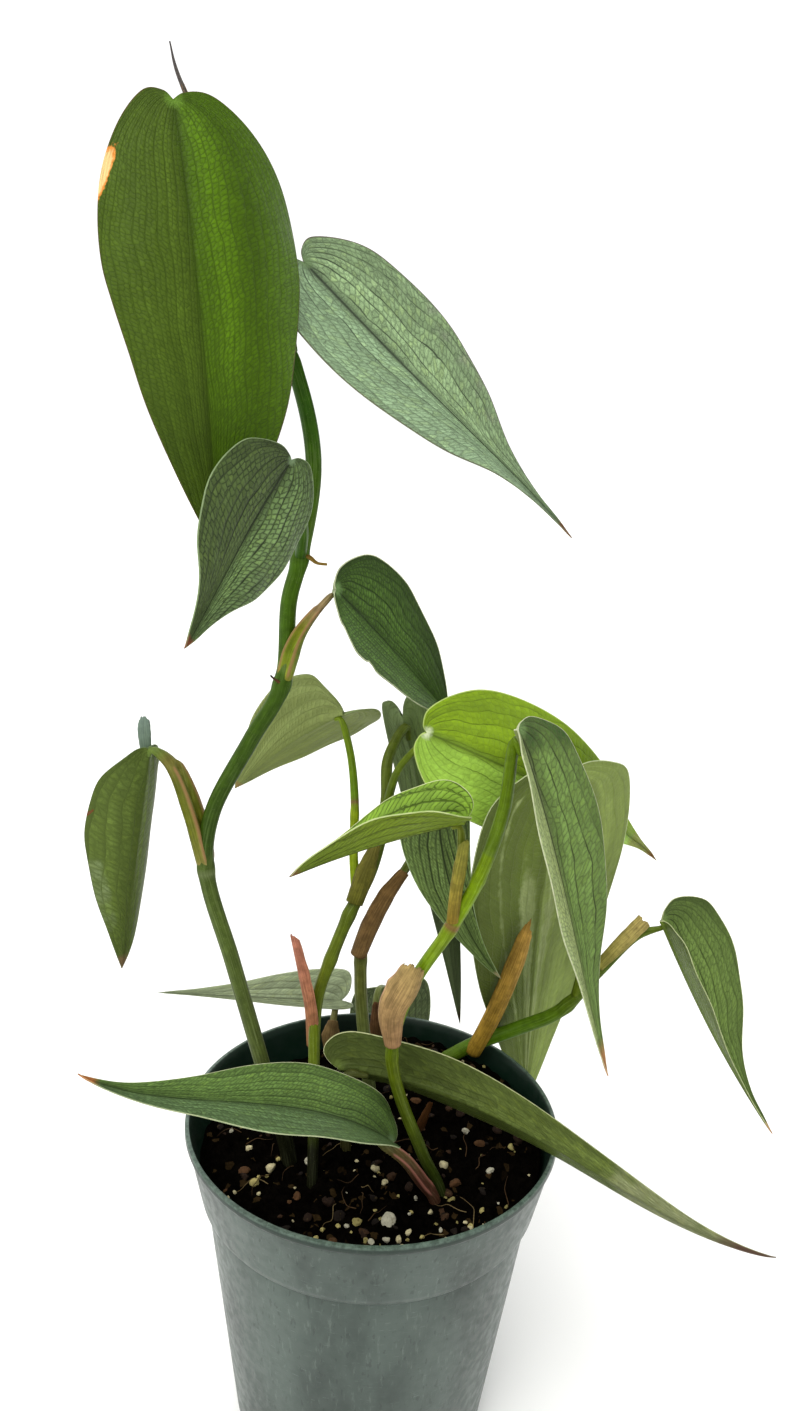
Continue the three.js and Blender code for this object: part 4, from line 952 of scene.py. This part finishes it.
# The first stops, near black, are painted shade on the stalk's foot, under the leaves down to the soil.
stem("stem_middle", [
    tube(ground(1.5, 8.5) + [[-1.5, 9, 109], [-3.5, 11, 130], [-3, 13, 140], [2.5, 17, 150], [9, 17, 162],
         [14, 14, 174]] + leaf_joint("leaf_dark_inner"), [1.95, 1.9, 1.8, 1.3, 1.1], [(0, (16, 16, 8)),
         (0.14, (26, 26, 12)), (0.26, (94, 106, 56)), (0.5, (84, 88, 34)), (1, (79, 93, 27))],
         joints=[(-3.2, 12, 136, 0.15, 2)], seed=21),
])
stem("stem_front", [
    tube(ground(16.5, -21.5) + [[10, -22, 98], [0.5, -23, 127.5], [4.5, -25, 148.5], [12, -29, 165.5],
         [17.5, -32, 180], [21.5, -35, 198.5]] + leaf_joint("leaf_front"),
         [1.4, 1.6, 1.6, 1.6, 1.7, 1.65, 1.3], banded([(0, (24, 28, 8)), (0.1, (40, 52, 12)),
         (0.2, (66, 80, 16)), (0.36, (85, 100, 11)), (0.5, (99, 131, 11)), (0.62, (112, 136, 15)),
         (0.7, (118, 148, 5)), (0.78, (104, 129, 1)), (0.8, (81, 106, 4)), (1, (85, 110, 9))],
         (0.645, (120, 92, 48), 0.006), (0.79, (92, 116, 30), 0.004)), joints=[(12, -29, 165.5, 0.14, 1.8),
         (17.5, -32, 180, 0.12, 1.4), (0.5, -23, 127.5, 0.1, 2)], seed=31),
    tube([[12, -29, 165.5], [13, -30.5, 178]] + leaf_joint("leaf_folded"), [1.3, 1.1, 1],
         [(0, (91, 106, 15)), (1, (112, 123, 37))], seed=32),
])
stem("stem_right", [
    tube(ground(27.5, 29.5) + [[29, 29.5, 92], [36, 28, 97], [49.5, 25, 104], [60.5, 20, 112.5],
         [70, 15, 128.5], [80, 13, 141], leaf_joint("leaf_right", deep=0.9, shares=(0.02, 0.03))[1]],
         [2.2, 2.2, 2.1, 1.5, 1.2], [(0, (67, 79, 11)), (0.3, (77, 112, 15)), (0.5, (81, 112, 17)),
         (0.6, (77, 98, 18)), (1, (83, 100, 25))], joints=[(62, 19, 115, 0.18, 2.2)], seed=41),
    tube([[64, 17.5, 119], [65.5, 16.5, 134.5], [62, 14.5, 152], [56.3, 13.5, 169.8]] +
         leaf_joint("leaf_back_large"), [1.5, 1.4, 1.2], [(0, (85, 102, 18)), (1, (97, 106, 30))], seed=42),
])

for leaf, slot, foot, points, radii, stops, seed, wing in (
    ("low_left", "stem_brown", (14, -25), [[9.5, -26.5, 92], [4, -29, 101]], [1.6, 1.6, 1.2],
     [(0, (50, 30, 20)), (0.5, (84, 52, 38)), (0.8, (92, 80, 44)), (1, (84, 92, 48))], 14,
     (0.3, 0.85, (0.6, -0.6, 0.4), 0.35)),
    ("low_right", "stem_brown", (-7.5, -2), [[-8.5, -3, 101]], [1.6, 1.5, 1.2],
     [(0, (50, 44, 22)), (1, (64, 70, 28))], 15, None),
    ("behind_left", "stem_brown", (-6, 42.5), [[-7.5, 43, 94]], [1.3, 1.2, 1],
     [(0, (96, 84, 46)), (1, (108, 108, 60))], 17, None),
    ("behind_pot", "stem_green", (7, 41.5), [[6.5, 43.5, 97], [8, 50, 103.5]], [1.3, 1.2, 1],
     [(0, (88, 88, 44)), (1, (98, 112, 52))], 16, None),
):
    gather("stalk_" + leaf + "_skin", STALK_BROWN, [
        tube(ground(*foot) + points + leaf_joint("leaf_" + leaf), radii, stops, seed=seed, wing=wing),
    ], ("stalk_" + leaf,))

gather("leaf_rolled_blade", stalk_material("leaf_rolled_skin", streak=0.3, freckle=0.1), [
    tube([[-43, 10, 328], [-46.5, 11, 338.5], [-50.6, 9, 349], [-54.6, 6, 357.5], [-55.8, 4, 362]],
         [0.9, 1.0, 0.85, 0.5, 0.25], [(0, (112, 116, 92)), (0.6, (112, 104, 100)), (1, (70, 66, 66))],
         ridges=0.06, step=0.5, end=0.1, wing=(0.1, 0.8, (0.3, -1, 0.2), 0.25)),
], ("leaf_rolled",))

# ---------------------------------------------------------------- sheaths


def sheath_material():
    skin = Material("sheath_skin", 0.6, 0.08)
    place = skin.place_mm()
    across, along, _ = skin.attribute("stalk")
    lines = skin.noise(skin.join(across * 2.6, along * 0.09), 1.0, 4, 0.7)
    spots = skin.noise(place, 1.1, 3, 0.7)
    color = skin.scaled(skin.tint(), skin.step(lines, 0.3, 0.7, 0.62, 1.25))
    color = skin.scaled(color, skin.step(skin.noise(place, 0.28, 4, 0.6), 0.35, 0.65, 0.74, 1.18))
    color = skin.mix(skin.step(spots, 0.62, 0.75) * 0.5, color, linear(92, 62, 36))
    color = skin.mix(skin.step(lines, 0.58, 0.72) * 0.22, color, linear(196, 172, 116))
    return skin.cover(color, lines * 0.22 + spots * 0.08, 0.8)


SHEATH_SKIN = sheath_material()
HALF_SHEATH, SHEATH_RIB = 0.25, 0.05  # mm: half its thickness, and how high its ribs stand


def sheath(name, path, widths, wrap, opens, low, high, edge, ragged=1.0, seed=0, tip_dark=0.0,
           point=(0.0, 0.0), rows=56, columns=30, ribs=7, replaced=None, skin=SHEATH_SKIN):
    """A dry channel round a stalk: wrap is its angle in degrees, and opens the way that it opens.

    low, high and edge are its colours. point is where its end is longest, and how much it falls off
    from there.
    """
    line, gone = even_line(path, 0.3)
    down = np.linspace(0, 1, rows + 1)
    centre = lookup(down, gone / gone[-1], line)
    forward = unit(np.gradient(centre, axis=0))
    opening = unit(np.asarray(opens, float) - forward * (forward @ np.asarray(opens, float))[:, None])
    share = down[:, None]
    x = np.linspace(-0.5, 0.5, columns + 1)
    tear = np.random.default_rng(seed)
    noise = np.convolve(tear.normal(0, 1, columns + 9), np.ones(5) / 5, "same")[4:-4]
    reach = (1 - ragged * 0.045 * np.abs(noise) - 0.06 * ragged * (2 * np.abs(x)) ** 3
             - point[1] * np.abs(x - point[0]))
    # The far end is ragged: each line along the sheath ends at its own length.
    v = share * np.where(share > 0.6, 1 - (1 - reach) * smoothstep(share, 0.6, 1), 1.0)

    radius = spread(widths, v) / 2 / math.sin(min(math.radians(wrap) / 2, math.pi / 2))
    radius = radius * (1 + 0.03 * np.sin(v * 31 + 3 * x + seed) * v + 0.02 * np.sin(x * 40))
    angle = x * math.radians(wrap)
    middle, side, toward = (lookup(v, down, part) for part in (centre, np.cross(forward, opening), opening))
    middle = middle + side * (radius * np.sin(angle))[..., None] + toward * (radius * (1 - np.cos(angle)))[..., None]
    normal = unit(np.cross(np.gradient(middle, axis=1), np.gradient(middle, axis=0)))
    rib = SHEATH_RIB * np.cos(2 * np.pi * ribs * (x + 0.5))
    thick = HALF_SHEATH * (1 - 0.5 * (2 * np.abs(x)) ** 4) * (1 - 0.4 * share)
    points, faces, _ = sheet(middle + normal * (thick + rib)[..., None], middle - normal * (thick - rib)[..., None])

    low, high, edge = (np.array(linear(*color)) for color in (low, high, edge))
    rim = 0.7 * smoothstep(2 * np.abs(x), 0.8, 1)[:, None]
    tint = low * (1 - v[..., None]) + high * v[..., None]
    tint = (tint * (1 - rim) + edge * rim) * (1 - tip_dark * smoothstep(v, 0.9, 1.0))[..., None]
    add_piece(name + "_skin", points, faces, [skin], (name,) if replaced is None else replaced, attributes={
        "tint": twice(*np.moveaxis(tint, -1, 0), 1), "stalk": twice(x * np.mean(widths) * 2, v * gone[-1], 0)})


sheath("sheath_pink", [[-18.5, 2, 115], [-19.5, 1.5, 127], [-21.5, 1, 137], [-24.5, -1, 151]],
       [4.8, 4.6, 4.4, 3.0], 160, (1, 0.6, 0), (140, 98, 60), (192, 124, 100), (200, 140, 112), seed=1,
       tip_dark=0.2, ragged=0.7)
sheath("sheath_left_olive", [[-7, 7.5, 155.5], [-4.5, 8.5, 163], [-1, 11, 172]],
       [4.6, 5.4, 2.6], 170, (0.3, 1, 0), (84, 84, 24), (104, 98, 40), (96, 92, 34), seed=2, ragged=0.5)
sheath("sheath_middle_brown", [[-5, 8.7, 138.5], [-2, 7.5, 148.5], [2.5, 7, 158.5],
       [7, 6.5, 165.5]], [4.4, 5, 4.6, 2.8], 160, (0.2, 1, 0), (108, 84, 50), (98, 74, 38), (96, 70, 44),
       seed=3, ragged=0.6)
sheath("sheath_front_tan", [[0, -26, 131.5], [-1, -28, 142], [2, -28.8, 150], [4.5, -29, 156]],
       [4, 6.5, 8, 5], 170, (0.2, 1, 0), (154, 118, 82), (162, 138, 86), (196, 152, 124), seed=4, ragged=1.4)
sheath("sheath_front_olive", [[12, -32, 168.5], [12, -33.6, 177], [12.5, -34.5, 185],
       [13, -34.8, 191.5]], [2.6, 2.8, 3.0, 1.9], 176, (0.1, 1, 0), (138, 114, 40), (142, 142, 60),
       (204, 170, 108), seed=5, point=(-0.1, 0.12), ragged=0.4)
sheath("sheath_right_orange", [[35, 25, 94.5], [39.6, 22, 108.5], [43.9, 18.5, 126.9],
       [47.4, 15, 146.7]], [4.8, 5.2, 5.2, 3.2], 176, (0.2, 1, 0), (156, 124, 40), (186, 146, 70),
       (136, 102, 38), seed=6, tip_dark=0.7, point=(0.1, 0.3), ragged=0.7)
sheath("sheath_right_tan", [[68, 13, 131], [73.5, 11.5, 139], [80, 10.5, 147.5]], [3, 4.4, 4.6],
       160, (0.6, 0.8, -0.6), (132, 128, 56), (172, 154, 92), (198, 178, 128), seed=7, ragged=0.6)
sheath("sheath_behind_left", [[-7.5, 39.5, 88], [-8, 39, 95], [-7.5, 39.5, 100.5]],
       [4.5, 6, 2.6], 140, (0, 1, 0), (104, 88, 50), (118, 96, 62), (140, 110, 78), seed=8)
sheath("sheath_behind_pot", [[6, 38.5, 88], [6, 38, 98], [6, 39.5, 106.5]], [3.2, 3.8, 2],
       140, (0, 1, 0), (98, 74, 44), (94, 64, 40), (120, 88, 60), seed=9)
sheath("sheath_low", [[13.5, 2, 82], [15.5, 2, 89], [17.5, 2, 95.5]], [2.2, 2.6, 1.2], 120,
       (0, 1, 0), (40, 24, 12), (84, 52, 24), (96, 62, 30), seed=10)
# A torn bit of the left leaf's lobe that stands up at its notch.
sheath("leaf_left_flap", [[-62.6, 7.2, 199.6], [-63, 7.8, 204], [-63.2, 8.4, 208.8]],
       [2.8, 3.4, 3.0], 60, (0.1, 1, 0.2), (92, 110, 92), (112, 130, 118), (96, 112, 104), ragged=2.6,
       seed=12, rows=24, columns=14, ribs=3, replaced=(), skin=STALK_SKIN)

# ---------------------------------------------------------------- pot

POT = dict(height=95, rim=52.5, lip=2.4, lip_step=0.7, collar_foot=48.3, collar_drop=21, body=46.1, base=37.1,
           wall=1.3, floor=1.8, foot_bevel=1.5)
COLLAR_BOTTOM = POT["height"] - POT["collar_drop"]
DRAIN = dict(count=8, radius=3.5, ring=27)
FINE = 3.0  # about how many mm lie between the rings of the pot's wall


def pot_profile():
    """The pot's outline from its underside up, over the lip and down to its floor: radius and height."""
    height, rim, lip, step, collar, _, body, base, wall, floor, bevel = POT.values()
    foot, inner = COLLAR_BOTTOM, rim - wall
    full = [
        (0, 0), (base - bevel, 0), (base - 0.4, 0.4), (base, bevel), (body - 0.1, foot - 3.5), (body, foot - 1),
        (body + 1.1, foot - 0.2), (collar - 0.3, foot + 0.9), (collar, foot + 2.2), (rim - step, height - lip),
        (rim - 0.2, height - lip * 0.86), (rim, height - lip * 0.65), (rim, height - 0.5),
        (rim - 0.15, height - 0.15), (rim - 0.5, height), (inner + 0.2, height), (inner, height - 0.25),
        (inner - step, height - lip), (collar - wall, foot + 2.0), (collar - wall - 0.6, foot + 0.4),
        (body - wall, foot - 1), (base - wall, floor), (0, floor)]
    dense = [full[0]]
    for (r0, z0), (r1, z1) in zip(full, full[1:]):
        count = max(1, int(np.hypot(r1 - r0, z1 - z0) / FINE))
        dense += [(r0 + (r1 - r0) * k / count, z0 + (z1 - z0) * k / count) for k in range(1, count + 1)]
    return np.array(dense)


def pot_material():
    skin = Material("pot_plastic", 0.3, 0.35)
    place = skin.place_mm()
    x, y, z = skin.parts(place)
    height, rim = POT["height"], POT["rim"]

    def streaks(level, upright, detail, rough):
        """A noise with its own scales sideways and up."""
        return skin.noise(skin.join(x * level, y * level, z * upright), 1.0, detail, rough)

    radius = skin.math("SQRT", x * x + y * y)
    haze, scuff = streaks(0.05, 0.018, 4, 0.6), streaks(0.9, 0.12, 4, 0.7)
    dent, scratch = streaks(0.8, 0.3, 2, 0.5), streaks(0.3, 2.8, 3, 0.7)
    # The inside and the lip are darker green, and the lip's top is worn pale.
    normal = skin.parts(skin.wires("NewGeometry")["True Normal"])
    outward = (normal[0] * x + normal[1] * y) / skin.math("MAXIMUM", radius, 1.0)
    inside = skin.step(outward, 0.0, -0.2) * skin.step(radius, rim - 0.3, rim - 1.3)
    lip = skin.step(z, height - POT["lip"] - 0.2, height - POT["lip"] + 0.4)
    top = skin.step(z, height - 0.9, height - 0.2) * skin.step(radius, rim - 1.5, rim - 0.9)
    wear = skin.step(skin.noise(place, 0.7, 4, 0.7), 0.35, 0.65, 0.3, 1.0)

    color = skin.mix(skin.step(haze, 0.3, 0.7), linear(46, 58, 52), linear(74, 87, 80))
    for factor, shade in (
            (skin.step(scuff, 0.56, 0.72) * 0.16, (150, 164, 154)),
            (skin.step(dent, 0.64, 0.68) * 0.4, (30, 40, 36)),
            # Short level scratches, dark ones and a few pale ones.
            (skin.step(scratch, 0.62, 0.68) * 0.3, (48, 60, 52)),
            (skin.step(scratch, 0.36, 0.3) * 0.2, (150, 162, 154)),
            (inside, (10, 30, 20)), (lip * 0.8, (12, 34, 23)), (top * (wear * 0.28), (150, 176, 158))):
        color = skin.mix(factor, color, linear(*shade))
    skin.put(skin.shader["Roughness"], skin.step(skin.noise(place, 0.4, 4), 0.3, 0.7, 0.3, 0.46))
    return skin.cover(color, skin.noise(place, 1.2, 3) * 0.04 + scuff * 0.05, 0.4)


def rings(reach, height, count):
    """Rings of points round the middle, each with its own reach and height."""
    angle = np.linspace(0, 2 * np.pi, count, endpoint=False)
    reach, height = np.asarray(reach, float)[:, None], np.asarray(height, float)[:, None]
    return np.stack(np.broadcast_arrays(reach * np.cos(angle), reach * np.sin(angle), height), -1)


def make_pot(segments=192):
    profile = pot_profile()
    wall = rings(profile[1:-1, 0], profile[1:-1, 1], segments)
    points = np.vstack([wall.reshape(-1, 3), [[0, 0, profile[0][1]], [0, 0, profile[-1][1]]]])
    pot = add_piece("pot_shell", points, tube_faces(len(wall), segments), [pot_material()], ("pot",))
    drill_mesh = bmesh.new()
    for k in range(DRAIN["count"]):
        turn = 2 * math.pi * (k + 0.5) / DRAIN["count"]
        at = Matrix.Translation(Vector((DRAIN["ring"] * math.cos(turn), DRAIN["ring"] * math.sin(turn), 0)) * MM)
        bmesh.ops.create_cone(drill_mesh, cap_ends=True, segments=32, radius1=DRAIN["radius"] * MM,
                              radius2=DRAIN["radius"] * MM, depth=8 * MM, matrix=at)
    drill_data = bpy.data.meshes.new("drills")
    drill_mesh.to_mesh(drill_data)
    drill_mesh.free()
    drills = placed("drills", drill_data)
    cut = pot.modifiers.new("drain", "BOOLEAN")
    cut.operation, cut.solver, cut.object = "DIFFERENCE", "EXACT", drills
    done = bpy.data.meshes.new_from_object(pot.evaluated_get(bpy.context.evaluated_depsgraph_get()))
    pot.modifiers.clear()
    pot.data = done
    bpy.data.objects.remove(drills)
    for polygon in done.polygons:
        polygon.use_smooth = True
    done.set_sharp_from_angle(angle=math.radians(40))


make_pot()

# ---------------------------------------------------------------- soil


def soil_material():
    skin = Material("potting_mix", 1.0, 0.0)
    place = skin.place_mm()
    crumbs = skin.cells(place, 0.55)
    color = skin.mix(skin.step(skin.noise(place, 0.35, 5, 0.7), 0.35, 0.75), linear(5, 4, 3), linear(14, 11, 8))
    color = skin.mix(skin.step(skin.noise(place, 1.3, 4, 0.7), 0.64, 0.76) * 0.5, color, linear(46, 36, 24))
    color = skin.mix(skin.step(skin.parts(crumbs["Color"])[0], 0.95, 0.98) * 0.4, color, linear(84, 66, 40))
    return skin.cover(color, crumbs["Distance"] * -0.6 + skin.noise(place, 1.6, 5, 0.7) * 0.9)


def perlite_material():
    skin = Material("perlite", 0.85, 0.1)
    place = skin.place_mm()
    color = skin.scaled(skin.tint(), skin.step(skin.noise(place, 1.4, 4, 0.7), 0.3, 0.7, 0.72, 1.12))
    color = skin.mix(skin.step(skin.noise(place, 0.9, 3), 0.6, 0.72) * 0.6, color, linear(90, 76, 44))
    return skin.cover(color, skin.noise(place, 2.2, 4, 0.7) * 0.5, 0.9)


def lumps(x, y, seed):
    """Seeded bumps of several sizes, in mm."""
    pick = np.random.default_rng(seed)
    total = np.zeros_like(x)
    for wave, size, count in ((9, 0.35, 6), (4.5, 0.4, 10), (2.2, 0.32, 14), (1.1, 0.2, 18)):
        for _ in range(count):
            a, shift = pick.uniform(0, 2 * np.pi, 2)
            k = 2 * np.pi / (wave * pick.uniform(0.7, 1.4))
            total += size * np.sin(k * (x * np.cos(a) + y * np.sin(a)) + shift) / math.sqrt(count)
    return total


def make_soil(rounds=110, sectors=300):
    """The heap, with a gap to the pot's wall."""
    foot, gap, low = COLLAR_BOTTOM, 0.3, SOIL["level"] - 2
    inset, floor = POT["wall"] + gap, POT["floor"] + gap
    slope = (POT["rim"] - POT["lip_step"] - POT["collar_foot"]) / (POT["height"] - POT["lip"] - foot)
    edge = POT["collar_foot"] - POT["wall"] - gap + slope * (low - foot)
    reach = edge * np.linspace(0, 1, rounds + 1)[1:]
    top = rings(reach, 0 * reach, sectors)
    x, y = top[..., 0], top[..., 1]
    top[..., 2] = soil_height(x, y) + lumps(x, y, 3) * smoothstep(edge - reach, 0, 1.5)[:, None]
    side = rings((edge, POT["collar_foot"] - inset, POT["body"] - inset, POT["base"] - inset),
                 (low, foot + 1.5, foot - 1, floor), sectors)
    body = np.concatenate([top, side])
    points = np.vstack([body.reshape(-1, 3), [[0, 0, float(soil_height(0, 0))], [0, 0, floor]]])
    faces = [face[::-1] for face in tube_faces(len(body), sectors)]
    add_piece("soil_heap", points, faces, [soil_material()], ("soil",))


def icosphere(level):
    ball = bmesh.new()
    bmesh.ops.create_icosphere(ball, subdivisions=level, radius=1)
    points = np.array([v.co[:] for v in ball.verts])
    faces = np.array([[v.index for v in f.verts] for f in ball.faces])
    ball.free()
    return points, faces


GRAIN_REACH = 46.5  # mm from the pot's middle


def make_grains():
    pick = np.random.default_rng(11)
    ball, ball_faces = icosphere(3)
    points, faces, colors = [], [], []

    def drop(reach, angle, size, shades, flat=0.75):
        """A grain of one of the colours, at a distance from the middle and an angle."""
        x, y = reach * math.cos(angle), reach * math.sin(angle)
        color = linear(*shades[pick.integers(4)])
        shape = ball.copy()
        for _ in range(4):
            way = unit(pick.normal(size=3))
            shape = shape * (1 + 0.25 * np.tanh(3 * (ball @ way))[:, None] * pick.uniform(-0.6, 0.6))
            high = shape @ way - pick.uniform(0.45, 0.8)
            shape = shape - way * np.maximum(high, 0)[:, None] * 0.85
        shape = shape + 0.05 * np.sin(shape * 9 + pick.uniform(0, 6, 3))[:, [1, 2, 0]]
        shape = shape * [1, pick.uniform(0.65, 1), pick.uniform(0.6, 0.9) * flat / 0.75]
        spin = Matrix.Rotation(pick.uniform(0, 6.28), 3, "Z") @ Matrix.Rotation(pick.uniform(-0.5, 0.5), 3, "X")
        shape = shape @ np.array(spin).T * size
        points.append(shape + [x, y, float(soil_height(x, y)) + size * 0.2])
        faces.append(ball_faces + len(ball) * len(faces))
        colors.append(np.tile([*color, 1], (len(ball), 1)))

    perlite = (196, 186, 146), (176, 164, 104), (146, 136, 84), (186, 182, 160)
    bark = (60, 42, 28), (40, 28, 20), (84, 58, 36), (28, 22, 18)
    state = 7

    def chance():
        nonlocal state
        state = (state * 1664525 + 1013904223) % 4294967296
        return state / 4294967296

    # The larger pale grains, in the same places as in the CAD, which draws three more numbers for each.
    for _ in range(26):
        reach, angle = 45 * math.sqrt(chance()), 2 * math.pi * chance()
        drop(reach, angle, 1.2 + 1.1 * chance() ** 2, perlite)
        chance(), chance(), chance()
    for _ in range(80):
        reach, angle = GRAIN_REACH * math.sqrt(pick.uniform()), pick.uniform(0, 2 * math.pi)
        drop(reach, angle, pick.uniform(0.3, 0.8), perlite)
    # More of them lie together at the front.
    for _ in range(90):
        angle = math.radians(pick.normal(-88, 22))
        reach = GRAIN_REACH - abs(pick.normal(0, 6))
        drop(reach, angle, pick.uniform(0.3, 1.2), perlite)
    for _ in range(120):
        reach, angle = 46 * math.sqrt(pick.uniform()), pick.uniform(0, 2 * math.pi)
        drop(reach, angle, pick.uniform(0.6, 2.0), bark, flat=0.5)
    add_piece("soil_grains", np.vstack(points), np.vstack(faces), [perlite_material()],
              attributes={"tint": np.vstack(colors)})


def make_fibres():
    pick = np.random.default_rng(5)
    fibres = []
    for k in range(45):
        reach, angle = 44 * math.sqrt(pick.uniform()), pick.uniform(0, 2 * math.pi)
        x, y = reach * math.cos(angle), reach * math.sin(angle)
        heading, length = pick.uniform(0, 2 * math.pi), pick.uniform(4, 13)
        path = []
        for i in range(6):
            high = float(soil_height(x, y)) + 0.35 + 1.6 * math.sin(math.pi * i / 5) * pick.uniform(0.1, 1)
            path.append([x, y, high])
            heading += pick.normal(0, 0.45)
            x, y = x + math.cos(heading) * length / 5, y + math.sin(heading) * length / 5
            if math.hypot(x, y) > 46:
                break
        if len(path) >= 3:
            shades = [(0, (78, 58, 36)), (1, (50, 36, 22))] if k % 5 else [(0, (120, 104, 70)), (1, (90, 74, 46))]
            fibres.append(tube(path, [0.13, 0.1, 0.06], shades, sides=6, step=0.7, ridges=0, taper=0))
    gather("soil_fibres", stalk_material("root_fibre", roughness=0.8), fibres, ())


make_soil()
make_grains()
make_fibres()

# ---------------------------------------------------------------- floor and light


def make_stage():
    """A pale floor, soft daylight from behind and above, and a large soft light from the front left."""
    half = 12.0  # metres
    mesh = bpy.data.meshes.new("floor")
    mesh.from_pydata([(-half, -half, 0), (half, -half, 0), (half, half, 0), (-half, half, 0)], [], [(0, 1, 2, 3)])
    mesh.polygons[0].use_smooth = True
    white = Material("floor_white", 0.7, 0.1)
    soft = white.noise(white.scaled(white.place_mm(), 0.004), 1.0, 2)
    mesh.materials.append(white.cover(white.mix(soft, linear(246, 246, 244), linear(250, 250, 249))))
    placed("floor", mesh)

    world = bpy.data.worlds.new("studio")
    world.use_nodes = True
    sky = Nodes(world.node_tree)
    _, along, up = sky.parts(sky.wires("TexCoord")["Generated"])
    back = sky.step(along, -0.7, 0.35)
    background = world.node_tree.nodes["Background"].inputs
    sky.put(background["Color"], sky.mix(back, (0.97, 0.985, 1.0), (1.0, 1.0, 0.995)))
    sky.put(background["Strength"], back * 0.75 + sky.step(up, -0.2, 1.0, 0.35, 0.6))
    bpy.context.scene.world = world

    sun = bpy.data.lights.new("key", "SUN")
    sun.energy, sun.angle, sun.color = 2.2, math.radians(45), (1.0, 0.985, 0.955)
    lamp = placed("key", sun)
    lamp.rotation_mode = "QUATERNION"
    lamp.rotation_quaternion = Vector((0.42, 0.55, -0.85)).to_track_quat("-Z", "Y")
    bpy.context.scene.view_settings.view_transform = "Standard"


make_stage()
